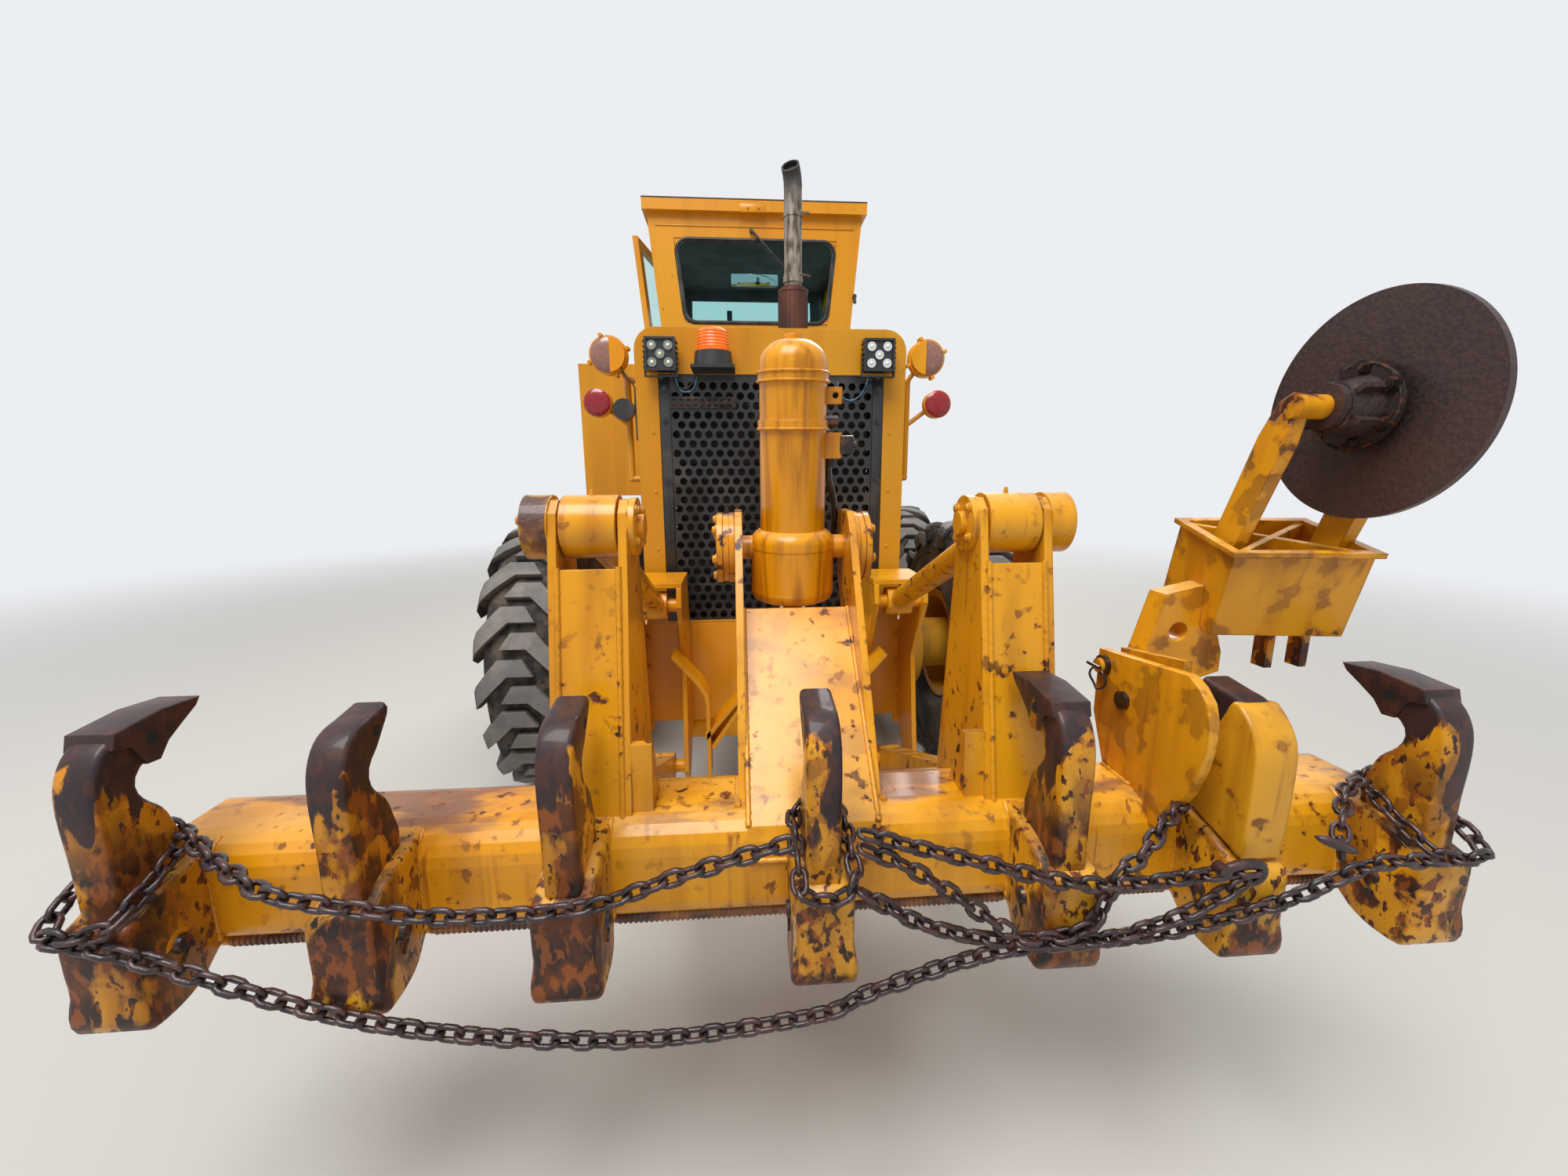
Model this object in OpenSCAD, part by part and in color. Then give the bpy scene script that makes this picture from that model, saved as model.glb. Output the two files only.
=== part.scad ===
// Articulated motor grader with a rear ripper and a folded pavement cutter wheel.
// X is the machine's right, Y its nose, Z up; the origin is on the ground at the middle of the plan.

/* [Wheels] */
// Front axle to the middle of the tandem
wheelbase = 6450; // [6300:10:6600]
// Between the two axles of a tandem
tandem_spacing = 1650; // [1600:10:1800]
// Outside diameter over the lugs
tyre_d = 1490; // [1440:10:1520]
// Width of a tyre
tyre_w = 430; // [400:5:450]
// Middle of a tyre from the machine's centre line
track_half = 1215; // [1200:5:1260]
// Bead diameter of a rim
rim_d = 610; // [590:5:640]
// Height of a tyre's lugs
lug_h = 40; // [30:1:50]
// Lugs on each side of a tyre
lug_count = 18; // [16:2:20]
// Radius of a wheel spindle
spindle_r = 60; // [50:1:70]
// Radial clearance of pins and spindles
pin_gap = 0.05; // [0.03:0.01:0.1]

/* [Rear frame and hood] */
// Rear tandem axle to the back of the chains
rear_overhang = 2537; // [2490:1:2590]
// Rear tandem axle to the back of the hood
hood_overhang = 838; // [820:2:860]
// Half the width of the hood
hood_half = 577; // [560:1:590]
// Height of the hood's top
hood_top = 2377; // [2300:1:2450]
// Length of the hood
hood_len = 1640; // [1560:10:1640]
// Sheet thickness of the hood
hood_wall = 8; // [5:1:12]
// Diameter of a hole in the rear grille
hole_d = 32; // [28:1:34]
// Distance between the grille's holes
hole_pitch = 46; // [44:1:60]
// Corner radius of the hood
hood_corner = 90; // [60:5:110]
// Top of the rear frame's deck
deck_z = 1107; // [1090:1:1120]
// Thickness of the deck plate
deck_t = 14; // [10:1:20]
// Half the width over the frame rails
rail_half = 440; // [400:5:460]
// Width of the post on each side of the grille
grille_post = 95; // [80:1:110]
// Upper edge of the grille opening
grille_top = 2190; // [2150:5:2220]
// Tandem centre to the articulation pin
hitch_ahead = 700; // [660:5:740]
// Radius of the articulation pin
hitch_pin_r = 45; // [35:1:55]

/* [Ripper] */
// Run of a ripper link, front eye to rear eye
link_run = 962; // [940:2:980]
// Rise of a ripper link while stowed
link_rise = 400; // [380:2:420]
// Height of the upper link's front eye
upper_eye_z = 1260; // [1240:2:1280]
// Height of the lower link's front eye
lower_eye_z = 530; // [520:2:540]
// Link centre line from the machine's centre line
link_x = 494; // [485:1:500]
// Radius of the link pins
link_pin_r = 28; // [22:1:32]
// Half the length of the ripper beam
beam_half = 1345; // [1340:1:1400]
// Side of the beam's square section
beam_side = 230; // [220:1:240]
// Height of the beam's top
beam_top = 1045; // [1030:1:1060]
// Thickness of a shank
shank_t = 68; // [60:1:72]
// Thickness of the mast and bracket plates
plate_t = 20; // [16:1:24]
// Thickness of a shank holder's walls
cheek_t = 20; // [18:1:22]
// Outside radius of the lift cylinder's barrel
barrel_r = 92; // [88:1:96]
// Bore radius of the lift cylinder's barrel
barrel_bore = 75; // [70:1:80]
// Radius of the lift cylinder's rod
rod_r = 40; // [32:1:45]

/* [Cutter wheel] */
// Radius of the cutting disc
disc_r = 240; // [220:5:250]
// Thickness of the disc
disc_t = 14; // [10:1:18]
// Middle of the mount box from the machine's centre line
cutter_x = 1133; // [1128:1:1138]
// Lean of the mount box, its front end up
box_pitch = 14.2; // [12:0.1:16]

/* [Blade] */
// Length of the moldboard
blade_len = 4270; // [4100:10:4300]
// Height of the moldboard
blade_h = 680; // [640:5:700]
// Plate thickness of the moldboard
blade_t = 22; // [18:1:25]
// Radius of the moldboard's curve
blade_r = 413; // [400:1:430]
// Outside radius of the circle
circle_r = 820; // [780:5:840]
// Front axle to the middle of the circle
circle_back = 2712; // [2680:2:2740]
// Clearance between the edge and the ground
blade_clear = 25; // [15:5:40]

/* [Cab] */
// Half the width of the cab at its roof
cab_half = 757; // [740:1:770]
// Half the width of the cab at its floor
cab_low_half = 672; // [650:1:690]
// Height of the roof's top
cab_top = 3640; // [3600:5:3660]
// Height of the cab's underside
cab_floor = 1560; // [1550:5:1600]
// Length of the cab
cab_len = 1640; // [1600:10:1700]
// Thickness of the cab's walls and doors
cab_wall = 40; // [32:1:45]
// Gap round a door
door_gap = 6; // [5:1:8]
// Angle at which the left door stands ajar
door_ajar = 9; // [6:1:12]

/* [Front axle] */
// Height of the pins that the front wheels lean on
lean_z = 700; // [680:5:720]
// Lean pin inwards from the kingpin
lean_in = 170; // [165:5:180]
// Kingpin inwards from a tyre's middle
king_in = 335; // [330:1:340]
// Radius of a kingpin
king_r = 30; // [25:1:35]
// Radius of the axle pins that the links turn on
link_ball_r = 16; // [12:1:20]

/* [Hidden] */
$fn = 48;
soft_gap = 0.3;

// Places along the machine
length = rear_overhang + tandem_spacing / 2 + wheelbase + tyre_d / 2;
axle_z = tyre_d / 2;
front_y = length / 2 - tyre_d / 2;
tandem_y = front_y - wheelbase;
rear_y = tandem_y - tandem_spacing / 2;
mid_y = tandem_y + tandem_spacing / 2;
hood_y = rear_y - hood_overhang;
hood_front = hood_y + hood_len;
hitch_y = tandem_y + hitch_ahead;
circle_y = front_y - circle_back;
king_x = track_half - king_in;
lean_x = king_x - lean_in;

// Width, thickness and pitch of a chain link, and the chain's middle behind the shanks
chain_w = 40;
chain_t = 14;
link_pitch = 62;
chain_off = 17.3;

// A plate drawn in the Y-Z plane and extruded along X from x0 to x1
module side_plate(points, x0, x1) {
  translate([x0, 0, 0]) rotate([90, 0, 90]) linear_extrude(x1 - x0) polygon(points);
}

// The same plate on both sides of the machine
module side_plates(points, x0, x1) {
  side_plate(points, x0, x1);
  side_plate(points, -x1, -x0);
}

module box(low, high) {
  translate(low) cube(high - low);
}

// The same box on both sides of the machine
module boxes(low, high) {
  box(low, high);
  box([-high[0], low[1], low[2]], [-low[0], high[1], high[2]]);
}

// A round bar along X, at a place [y, z]
module bar_x(r, x0, x1, place, fn = 48) {
  translate([x0, place[0], place[1]]) rotate([0, 90, 0]) cylinder(h = x1 - x0, r = r, $fn = fn);
}

// A round bar along Y, at a place [x, z]
module bar_y(r, y0, y1, place, fn = 48) {
  translate([place[0], y1, place[1]]) rotate([90, 0, 0]) cylinder(h = y1 - y0, r = r, $fn = fn);
}

// A straight round bar between two points
module strut(a, b, r, fn = 32) {
  v = b - a;
  translate(a) rotate([0, acos(v[2] / norm(v)), atan2(v[1], v[0])])
    cylinder(h = norm(v), r = r, $fn = fn);
}

// Wheels

rim_r = rim_d / 2;
bead_half = 0.35 * tyre_w;
flange_t = 12;
flange_h = 26;
rim_web = 25;
rim_web_t = 22;

module tyre_profile() {
  half = tyre_w / 2 - 12;
  crown = tyre_d / 2 - lug_h;
  side = [[rim_r, bead_half], [rim_r + flange_h + 8, bead_half], [rim_r + 90, half],
    [crown - 100, half], [crown - 12, half - 40], [crown, half - 90]];
  polygon(concat(side, [for (i = [len(side) - 1 : -1 : 0]) [side[i][0], -side[i][1]]]));
}

// The space that the lugs fill, from inside the tread out to their tips
module lug_profile() {
  half = tyre_w / 2;
  tip = tyre_d / 2;
  side = [[tip - lug_h - 100, half], [tip - 50, half], [tip - 10, half - 26], [tip, half - 75]];
  polygon(concat(side, [for (i = [3 : -1 : 0]) [side[i][0], -side[i][1]]]));
}

// One hooked lug seen from outside the tread, columns are across and along
module lug_outline() {
  half = tyre_w / 2 + 1;
  polygon([[-half, -110], [-87, 45], [28, 45], [78, -35], [-45, -35], [-half, -200]]);
}

module tyre(side, y) {
  step = 360 / lug_count;
  color("#2b2b2a")
    translate([side * track_half, y, axle_z]) {
      rotate([0, side * 90, 0]) rotate_extrude($fn = 72) tyre_profile();
      intersection() {
        rotate([0, 90, 0]) rotate_extrude($fn = 72) lug_profile();
        for (hand = [0, 1]) for (i = [0 : lug_count - 1])
          rotate([(i + hand / 2) * step, 0, 0]) mirror([hand, 0, 0])
            translate([0, 0, tyre_d / 2 - lug_h - 100]) linear_extrude(lug_h + 110) lug_outline();
      }
    }
}

module rim(side, y) {
  color("#c8901c")
    translate([side * track_half, y, axle_z]) rotate([0, side * 90, 0]) {
      rotate_extrude($fn = 72) union() {
        translate([rim_r - 20, -bead_half - flange_t]) square([20, 2 * (bead_half + flange_t)]);
        for (z = [-bead_half - flange_t, bead_half])
          translate([rim_r - 20, z]) square([20 + flange_h, flange_t]);
        translate([spindle_r + pin_gap, rim_web]) square([rim_r - 10 - spindle_r, rim_web_t]);
      }
    }
}

// Rear frame

case_out = track_half - tyre_w / 2 - 100;
case_in = case_out - 160;
case_r = 245;
axle_r = 140;
hub_r = 150;
spindle_end = track_half + rim_web + rim_web_t + 30;

module tandem_cases() {
  color("#c8901c") {
    for (side = [-1, 1]) mirror([side < 0 ? 1 : 0, 0, 0]) {
      box([case_in, rear_y, axle_z - case_r], [case_out, mid_y, axle_z + case_r]);
      for (y = [rear_y, mid_y]) {
        bar_x(case_r, case_in, case_out, [y, axle_z]);
        bar_x(hub_r, case_out - 1, track_half + rim_web - soft_gap, [y, axle_z]);
        bar_x(spindle_r, case_out, spindle_end, [y, axle_z]);
      }
    }
    bar_x(axle_r, -case_in - 1, case_in + 1, [tandem_y, axle_z]);
    bar_x(axle_r + 90, -170, 170, [tandem_y, axle_z]);
  }
}

rail_w = 130;
rail_low = 890;
cross_low = 640;
bracket_in = link_x - 89;
bracket_out = link_x + 91;
upper_front = [hood_y - 292, upper_eye_z];
lower_front = [hood_y - 230, lower_eye_z];
upper_rear = upper_front + [-link_run, link_rise];
lower_rear = lower_front + [-link_run, link_rise];
rod_eye = [upper_rear[0] + 372, 620];
hitch_top = 1180;
hitch_low = 820;
hitch_lug = 60;

// Outline of a bracket plate that carries both ripper links
bracket = [[hood_y, deck_z], [hood_y - 60, upper_eye_z + 75], [hood_y - 335, upper_eye_z + 75],
  [hood_y - 352, upper_eye_z], [hood_y - 300, upper_eye_z - 90], [hood_y - 200, deck_z - 110],
  [hood_y - 290, lower_eye_z], [hood_y - 230, lower_eye_z - 62], [hood_y - 160, lower_eye_z - 40],
  [hood_y, cross_low]];

module rear_frame() {
  color("#c8901c") difference() {
    union() {
      boxes([rail_half - rail_w, hood_y, rail_low], [rail_half, hitch_y - 320, deck_z]);
      box([-hood_half, hood_y, deck_z - deck_t], [hood_half, hood_front, deck_z]);
      box([-hood_half - 20, hood_y, cross_low], [hood_half + 20, hood_y + 130, deck_z]);
      side_plates(bracket, bracket_in - plate_t, bracket_in);
      side_plates(bracket, bracket_out, bracket_out + plate_t);
      for (s = [-1, 1])
        box([s * link_x - 91 - plate_t, hood_y - 330, upper_eye_z + 75],
          [s * link_x + 91 + plate_t, hood_y - 60, upper_eye_z + 75 + plate_t]);
      for (s = [-1, 1]) {
        bar_x(link_pin_r, s * link_x - 110, s * link_x + 110, upper_front);
        bar_x(link_pin_r, s * link_x - 110, s * link_x + 110, lower_front);
      }
      // Tongue that holds the lift cylinder's rod
      side_plates([[hood_y, cross_low + 150], [hood_y, cross_low],
        [rod_eye[0] + 40, rod_eye[1] - 70], [rod_eye[0] - 60, rod_eye[1] - 40],
        [rod_eye[0] - 60, rod_eye[1] + 50], [rod_eye[0] + 60, rod_eye[1] + 60]], 46, 46 + plate_t);
      box([-46, rod_eye[0] + 160, rod_eye[1] - 55], [46, hood_y - 40, rod_eye[1] + 20]);
      bar_x(link_pin_r, -66, 66, rod_eye);
      // Neck that gathers the rails to the hitch
      box([-rail_half, hitch_y - 420, rail_low], [rail_half, hitch_y - 300, deck_z]);
      box([-160, hitch_y - 320, hitch_low], [160, hitch_y - 200, hitch_top]);
      for (z = [hitch_low, hitch_top - hitch_lug]) {
        box([-110, hitch_y - 240, z], [110, hitch_y, z + hitch_lug]);
        translate([0, hitch_y, z]) cylinder(h = hitch_lug, r = 110);
      }
      translate([0, hitch_y, hitch_low]) cylinder(h = hitch_top - hitch_low, r = hitch_pin_r);
      // Saddles on the axle housing
      boxes([rail_half - rail_w, tandem_y - 170, axle_z], [rail_half, tandem_y + 170, rail_low + 1]);
    }
    bar_x(axle_r + soft_gap, -rail_half - 1, rail_half + 1, [tandem_y, axle_z]);
  }
}

module engine() {
  color("#4a4a46")
    box([-330, hood_y + 420, deck_z], [330, hood_front - 180, hood_top - 330]);
}

// Rounded outline of the hood in the X-Z plane, set in from the outside
module hood_outline(inset) {
  r = hood_corner - inset;
  half = hood_half - inset;
  top = hood_top - inset;
  square_low = deck_z + inset;
  polygon(concat([[half, square_low]],
    [for (a = [0 : 15 : 90]) [half - r + r * cos(a), top - r + r * sin(a)]],
    [for (a = [90 : 15 : 180]) [-half + r + r * cos(a), top - r + r * sin(a)]],
    [[-half, square_low]]));
}

module along_y(y0, y1) {
  translate([0, y1, 0]) rotate([90, 0, 0]) linear_extrude(y1 - y0) children();
}

grille_half = hood_half - grille_post;
grille_t = 6;

module hood() {
  color("#c8901c") difference() {
    along_y(hood_y, hood_front) hood_outline(0);
    along_y(hood_y + hood_wall, hood_front - hood_wall) difference() {
      hood_outline(hood_wall);
      translate([-hood_half, 0]) square([2 * hood_half, deck_z + hood_wall]);
    }
    box([-hood_half + hood_wall, hood_y + hood_wall, deck_z - 1],
      [hood_half - hood_wall, hood_front - hood_wall, deck_z + 20]);
    box([-grille_half, hood_y - 1, deck_z + 14], [grille_half, hood_y + hood_wall + 1, grille_top]);
    // Louvre slots in the side doors
    for (y = [hood_y + 240, hood_y + 720, hood_y + 1200]) for (z = [1420 : 60 : 1900])
      boxes([hood_half - 2 * hood_wall, y, z], [hood_half + 1, y + 300, z + 18]);
  }
}

module grille() {
  low = deck_z + 40;
  rows = floor((grille_top - 25 - low) / (hole_pitch * sin(60)));
  columns = floor((grille_half - 30) / hole_pitch);
  color("#191919") along_y(hood_y + hood_wall, hood_y + hood_wall + grille_t) difference() {
    translate([-grille_half - 15, deck_z + 2]) square([2 * grille_half + 30, grille_top + 13 - deck_z]);
    for (row = [0 : rows]) for (i = [-columns : columns - row % 2])
      translate([(i + row % 2 / 2) * hole_pitch, low + row * hole_pitch * sin(60)])
        circle(d = hole_d, $fn = 16);
  }
}

muffler_y = hood_y + 758;
muffler_x = 157;
pipe_r = 47;

module exhaust() {
  bend_z = hood_top + 856;
  bend_r = 110;
  bend = 52;
  color("#3a2c24") translate([muffler_x, muffler_y, 0]) {
    translate([0, 0, hood_top]) {
      cylinder(h = 12, r = 60);
      cylinder(h = 60, r = 34);
      translate([0, 0, 50]) cylinder(h = 14, r = 64);
      translate([0, 0, 60]) cylinder(h = 300, r = 78);
      translate([0, 0, 356]) cylinder(h = 16, r = 62);
      // Clamp of the tail pipe
      translate([0, 0, 395]) cylinder(h = 26, r = 53);
      translate([0, 0, 360]) cylinder(h = bend_z - hood_top - 360, r = pipe_r);
    }
    // The bend leans its open end to the rear and left
    translate([0, 0, bend_z]) rotate([0, 0, -25]) difference() {
      translate([0, -bend_r, 0]) rotate([90, 0, 90])
        rotate_extrude(angle = bend, $fn = 48) translate([bend_r, 0]) circle(r = pipe_r + 1);
      translate([0, -bend_r * (1 - cos(bend)), bend_r * sin(bend)]) rotate([bend, 0, 0])
        translate([0, 0, -25]) cylinder(h = 60, r = pipe_r - 8);
    }
  }
}

// Rear lamps: columns are x, y from the hood's back, z, radius
rear_lamp_table = [[708, 128, 2286, 82], [767, 128, 2087, 62]];
rail_r = 14;
rail_x = 645;

module rear_lamps() {
  color("#b5651d") for (side = [-1, 1]) for (lamp = rear_lamp_table) {
    bar_y(lamp[3], hood_y + lamp[1], hood_y + lamp[1] + 40, [side * lamp[0], lamp[2]]);
    bar_y(lamp[3] - 20, hood_y + lamp[1] + 39, hood_y + lamp[1] + 70, [side * lamp[0], lamp[2]]);
  }
}

// Hooked grab rails on the hood's sides, with the arms that carry the lamps
module grab_rails() {
  y = hood_y + 214;
  color("#c8901c") for (side = [-1, 1]) {
    for (z = [1755, 2195])
      bar_x(rail_r, side < 0 ? -rail_x : hood_half, side < 0 ? -hood_half : rail_x, [y, z], 24);
    strut([side * rail_x, y, 1755], [side * rail_x, y, 2195], rail_r, 24);
    for (z = [1755, 2195]) translate([side * rail_x, y, z]) sphere(r = rail_r + 1);
    for (lamp = rear_lamp_table) {
      strut([side * rail_x, y, lamp[2] - 90], [side * lamp[0], y, lamp[2]], rail_r - 3, 24);
      bar_y(rail_r, hood_y + lamp[1] + 70, y + rail_r, [side * lamp[0], lamp[2]], 24);
    }
  }
}

beacon_x = -246;
beacon_y = hood_y - 84;

module beacon() {
  color("#c9761a") difference() {
    translate([beacon_x, beacon_y, 2285]) sphere(r = 72);
    box([beacon_x - 100, beacon_y - 100, 2100], [beacon_x + 100, beacon_y + 100, 2262]);
  }
}

// Work lamps: columns are left and right edge, bottom, top
work_lamp_table = [[-522, -398, 2190, 2320], [376, 506, 2194, 2324]];
lamp_back = hood_y - 90;

module work_lamps() {
  color("#202020") {
    for (lamp = work_lamp_table) {
      difference() {
        box([lamp[0], lamp_back, lamp[2]], [lamp[1], lamp_back + 62, lamp[3]]);
        box([lamp[0] + 9, lamp_back - 1, lamp[2] + 9], [lamp[1] - 9, lamp_back + 10, lamp[3] - 9]);
      }
      // U bracket round the lamp, and the stud that holds both on the hood's back
      box([lamp[0] - 6, lamp_back + 20, lamp[2] - 22], [lamp[1] + 6, lamp_back + 46, lamp[2] - 16]);
      for (x = [lamp[0] - 6, lamp[1]])
        box([x, lamp_back + 20, lamp[2] - 22], [x + 6, lamp_back + 46, lamp[2] + 70]);
      box([(lamp[0] + lamp[1]) / 2 - 18, lamp_back + 61, lamp[2] + 40],
        [(lamp[0] + lamp[1]) / 2 + 18, hood_y, lamp[2] + 80]);
    }
    // Beacon's base and its shelf
    translate([beacon_x, beacon_y, 2202]) cylinder(h = 60, r1 = 81, r2 = 74);
    box([beacon_x - 88, beacon_y - 84, 2191], [beacon_x + 88, hood_y, 2203]);
    // Strap across the grille
    box([-443, hood_y + hood_wall - 6, 2048], [-170, hood_y + hood_wall, 2100]);
    // Reversing alarm on the left side
    bar_y(46, hood_y + 128, hood_y + 178, [-655, 2060]);
    bar_x(12, -620, -hood_half, [hood_y + 153, 2060], 24);
  }
}

tank_x = 600;

module hydraulic_tank() {
  color("#c8901c") {
    box([-1060, hood_front - 620, 1650], [-tank_x, hood_front - 20, 2400]);
    for (y = [hood_front - 560, hood_front - 100])
      box([-tank_x, y, 1700], [-hood_half, y + 40, 2000]);
  }
}

// Front frame

neck_half = 150;
saddle_y = circle_y + 190;
saddle_z = 1900;
saddle_x = 520;
stub_r = 30;

// Side outline of the gooseneck, hitch at the low rear end
neck = [[hitch_y - 80, hitch_low + hitch_lug + 6], [hitch_y - 80, hitch_top - hitch_lug - 6],
  [hitch_y + 135, hitch_top - hitch_lug - 6], [hitch_y + 175, hitch_top + 60],
  [hitch_y + 320, 1500], [hitch_y + 1350, 1560],
  [hitch_y + 1750, 1960], [hitch_y + 2500, 2000], [front_y - 300, 1640], [front_y + 220, 1560],
  [front_y + 260, 1150], [front_y - 260, 1150], [front_y - 700, 1330], [hitch_y + 2600, 1600],
  [hitch_y + 1950, 1560], [hitch_y + 1500, 1250], [hitch_y + 700, 860], [hitch_y + 175, 820],
  [hitch_y + 135, hitch_low + hitch_lug + 6]];

module front_frame() {
  color("#c8901c") difference() {
    union() {
      side_plate(neck, -neck_half, neck_half);
      // Cross members under the cab
      for (y = [hitch_y - 300, hitch_y + 1000])
        box([-560, y, 1500], [560, y + 120, cab_floor]);
      boxes([neck_half - 1, hitch_y - 300, 1500], [neck_half + 100, hitch_y + 1120, cab_floor]);
      box([-neck_half, hitch_y - 300, 1440], [neck_half, hitch_y + 340, 1500]);
      box([-neck_half, hitch_y + 330, 1400], [neck_half, hitch_y + 1120, 1501]);
      // Bolster that hangs the axle
      for (y = [front_y - 230, front_y + 190])
        box([-140, y, 760], [140, y + 80, 1160]);
      // Saddle that carries the blade's lift cylinders
      box([-saddle_x + 120, saddle_y - 60, saddle_z - 60], [saddle_x - 120, saddle_y + 60, saddle_z + 60]);
      // Socket of the drawbar's ball
      box([-70, front_y - 720, 830], [70, front_y - 640, 1400]);
      box([-70, front_y - 720, 1000], [70, front_y - 480, 1180]);
    }
    translate([0, hitch_y, 0]) cylinder(h = 1300, r = hitch_pin_r + pin_gap);
    bar_y(45 + pin_gap, front_y - 300, front_y + 300, [0, pivot_z]);
    translate([0, ball_y, ball_z]) sphere(r = 60 + soft_gap);
    for (s = [-1, 1])
      bar_x(stub_r + pin_gap, s * (saddle_x - 130) - 60, s * (saddle_x - 130) + 60, [saddle_y, saddle_z]);
  }
}

cab_y = hitch_y - 425;
roof_z = cab_top - 80;
// How far the roof sits down over the walls
roof_seat = 2;
sill_z = 2830;
waist_half = 686;
cab_front = cab_y + cab_len;

// Outline of the cab in the X-Z plane, set in from the outside
module cab_outline(inset) {
  polygon([[cab_low_half - inset, cab_floor + inset], [waist_half - inset, sill_z],
    [cab_half - inset, roof_z], [-cab_half + inset, roof_z], [-waist_half + inset, sill_z],
    [-cab_low_half + inset, cab_floor + inset]]);
}

door_y0 = cab_y + 240;
door_y1 = cab_y + 1190;
door_low = cab_floor + 60;
door_high = roof_z - 60;
window_low = 2250;
window_high = roof_z - 130;

// The part of one side wall between two places along Y and two heights
module side_wall(side, y0, y1, z0, z1, inner, outer) {
  intersection() {
    along_y(y0, y1) difference() {
      cab_outline(outer);
      cab_outline(inner);
    }
    mirror([side < 0 ? 1 : 0, 0, 0]) box([300, y0, z0], [1000, y1, z1]);
  }
}

// A window opening in the end walls, columns are half width below and above, z below and above
module end_window(y0, y1, low_half, high_half, z0, z1) {
  along_y(y0, y1) polygon([[low_half, z0], [high_half, z1], [-high_half, z1], [-low_half, z0]]);
}

module rear_window(y0, y1) {
  end_window(y0, y1, 515, 575, sill_z + 10, roof_z - 160);
}

module front_window(y0, y1) {
  end_window(y0, y1, 560, 640, 2150, roof_z - 120);
}

module cab() {
  color("#c8901c") {
    difference() {
      along_y(cab_y, cab_front) cab_outline(0);
      along_y(cab_y + cab_wall, cab_front - cab_wall) cab_outline(cab_wall);
      rear_window(cab_y - 1, cab_y + cab_wall + 1);
      front_window(cab_front - cab_wall - 1, cab_front + 1);
      for (side = [-1, 1]) {
        side_wall(side, door_y0, door_y1, door_low, door_high, cab_wall + 2, -2);
        side_wall(side, door_y1 + 110, cab_front - 70, window_low, window_high, cab_wall + 2, -2);
      }
    }
    // Roof with its overhang
    box([-cab_half - 25, cab_y - 50, roof_z - roof_seat], [cab_half + 25, cab_front + 60, cab_top]);
    // Hinge pins of the doors, each between two ears
    for (side = [-1, 1]) mirror([side < 0 ? 1 : 0, 0, 0]) for (h = hinge_table) {
      translate([hinge_x, hinge_y, h[0] - 20]) cylinder(h = 100, r = hinge_pin_r);
      for (z = [h[0] - 20, h[0] + 60 + soft_gap]) {
        box([h[1], hinge_y + 4, z], [hinge_x, hinge_y + 40, z + 20 - soft_gap]);
        translate([hinge_x, hinge_y + 14, z]) cylinder(h = 20 - soft_gap, r = 22);
      }
    }
  }
}

// Lamps under the front edge of the roof
module roof_lamps() {
  color("#202020") boxes([430, cab_front + 6, roof_z - 90], [570, cab_front + 56, roof_z - roof_seat]);
}

glass_t = 6;
glass_in = cab_wall / 2;

module cab_glass() {
  color("#9fb4b8", 0.35) {
    rear_window(cab_y + glass_in, cab_y + glass_in + glass_t);
    front_window(cab_front - glass_in - glass_t, cab_front - glass_in);
    for (side = [-1, 1])
      side_wall(side, door_y1 + 110, cab_front - 70, window_low, window_high,
        glass_in + glass_t, glass_in);
  }
}

// Hinge line of the doors, outside the front edge of the opening
hinge_x = cab_half + 22;
hinge_y = door_y1 + 4;
hinge_pin_r = 6;
// Door hinges, columns are height and where the wall's middle is
hinge_table = [for (z = [cab_floor + 340, roof_z - 360]) [z, wall_mid(z)]];

// Middle of the side wall at a height
function wall_mid(z) = (z < sill_z
  ? cab_low_half + (waist_half - cab_low_half) * (z - cab_floor) / (sill_z - cab_floor)
  : waist_half + (cab_half - waist_half) * (z - sill_z) / (roof_z - sill_z)) - cab_wall / 2;

// Turns a left-hand door to where it stands ajar
module ajar(side) {
  if (side < 0)
    translate([-hinge_x, hinge_y, 0]) rotate([0, 0, -door_ajar]) translate([hinge_x, -hinge_y, 0])
      children();
  else
    children();
}

module door(side) {
  color("#c8901c") ajar(side) difference() {
    union() {
      side_wall(side, door_y0 + door_gap, door_y1 - door_gap, door_low + door_gap,
        door_high - door_gap, cab_wall, 0);
      mirror([side < 0 ? 1 : 0, 0, 0]) for (h = hinge_table) {
        translate([hinge_x, hinge_y, h[0]]) cylinder(h = 60, r = 12);
        box([h[1], door_y1 - 60, h[0] + 5], [hinge_x, door_y1 - door_gap, h[0] + 55]);
      }
    }
    translate([side * hinge_x, hinge_y, 0]) cylinder(h = 4000, r = hinge_pin_r + pin_gap);
    side_wall(side, door_y0 + 90, door_y1 - 90, window_low, window_high, cab_wall + 2, -2);
  }
}

module door_glass(side) {
  color("#9fb4b8", 0.35) ajar(side)
    side_wall(side, door_y0 + 90, door_y1 - 90, window_low, window_high, glass_in + glass_t, glass_in);
}

module seat() {
  color("#2a2a2c") {
    box([-250, cab_y + 420, cab_floor + 520], [250, cab_y + 920, cab_floor + 640]);
    box([-240, cab_y + 330, cab_floor + 560], [240, cab_y + 440, cab_floor + 1180]);
    box([-150, cab_y + 520, cab_floor + cab_wall], [150, cab_y + 820, cab_floor + 521]);
  }
}

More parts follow.
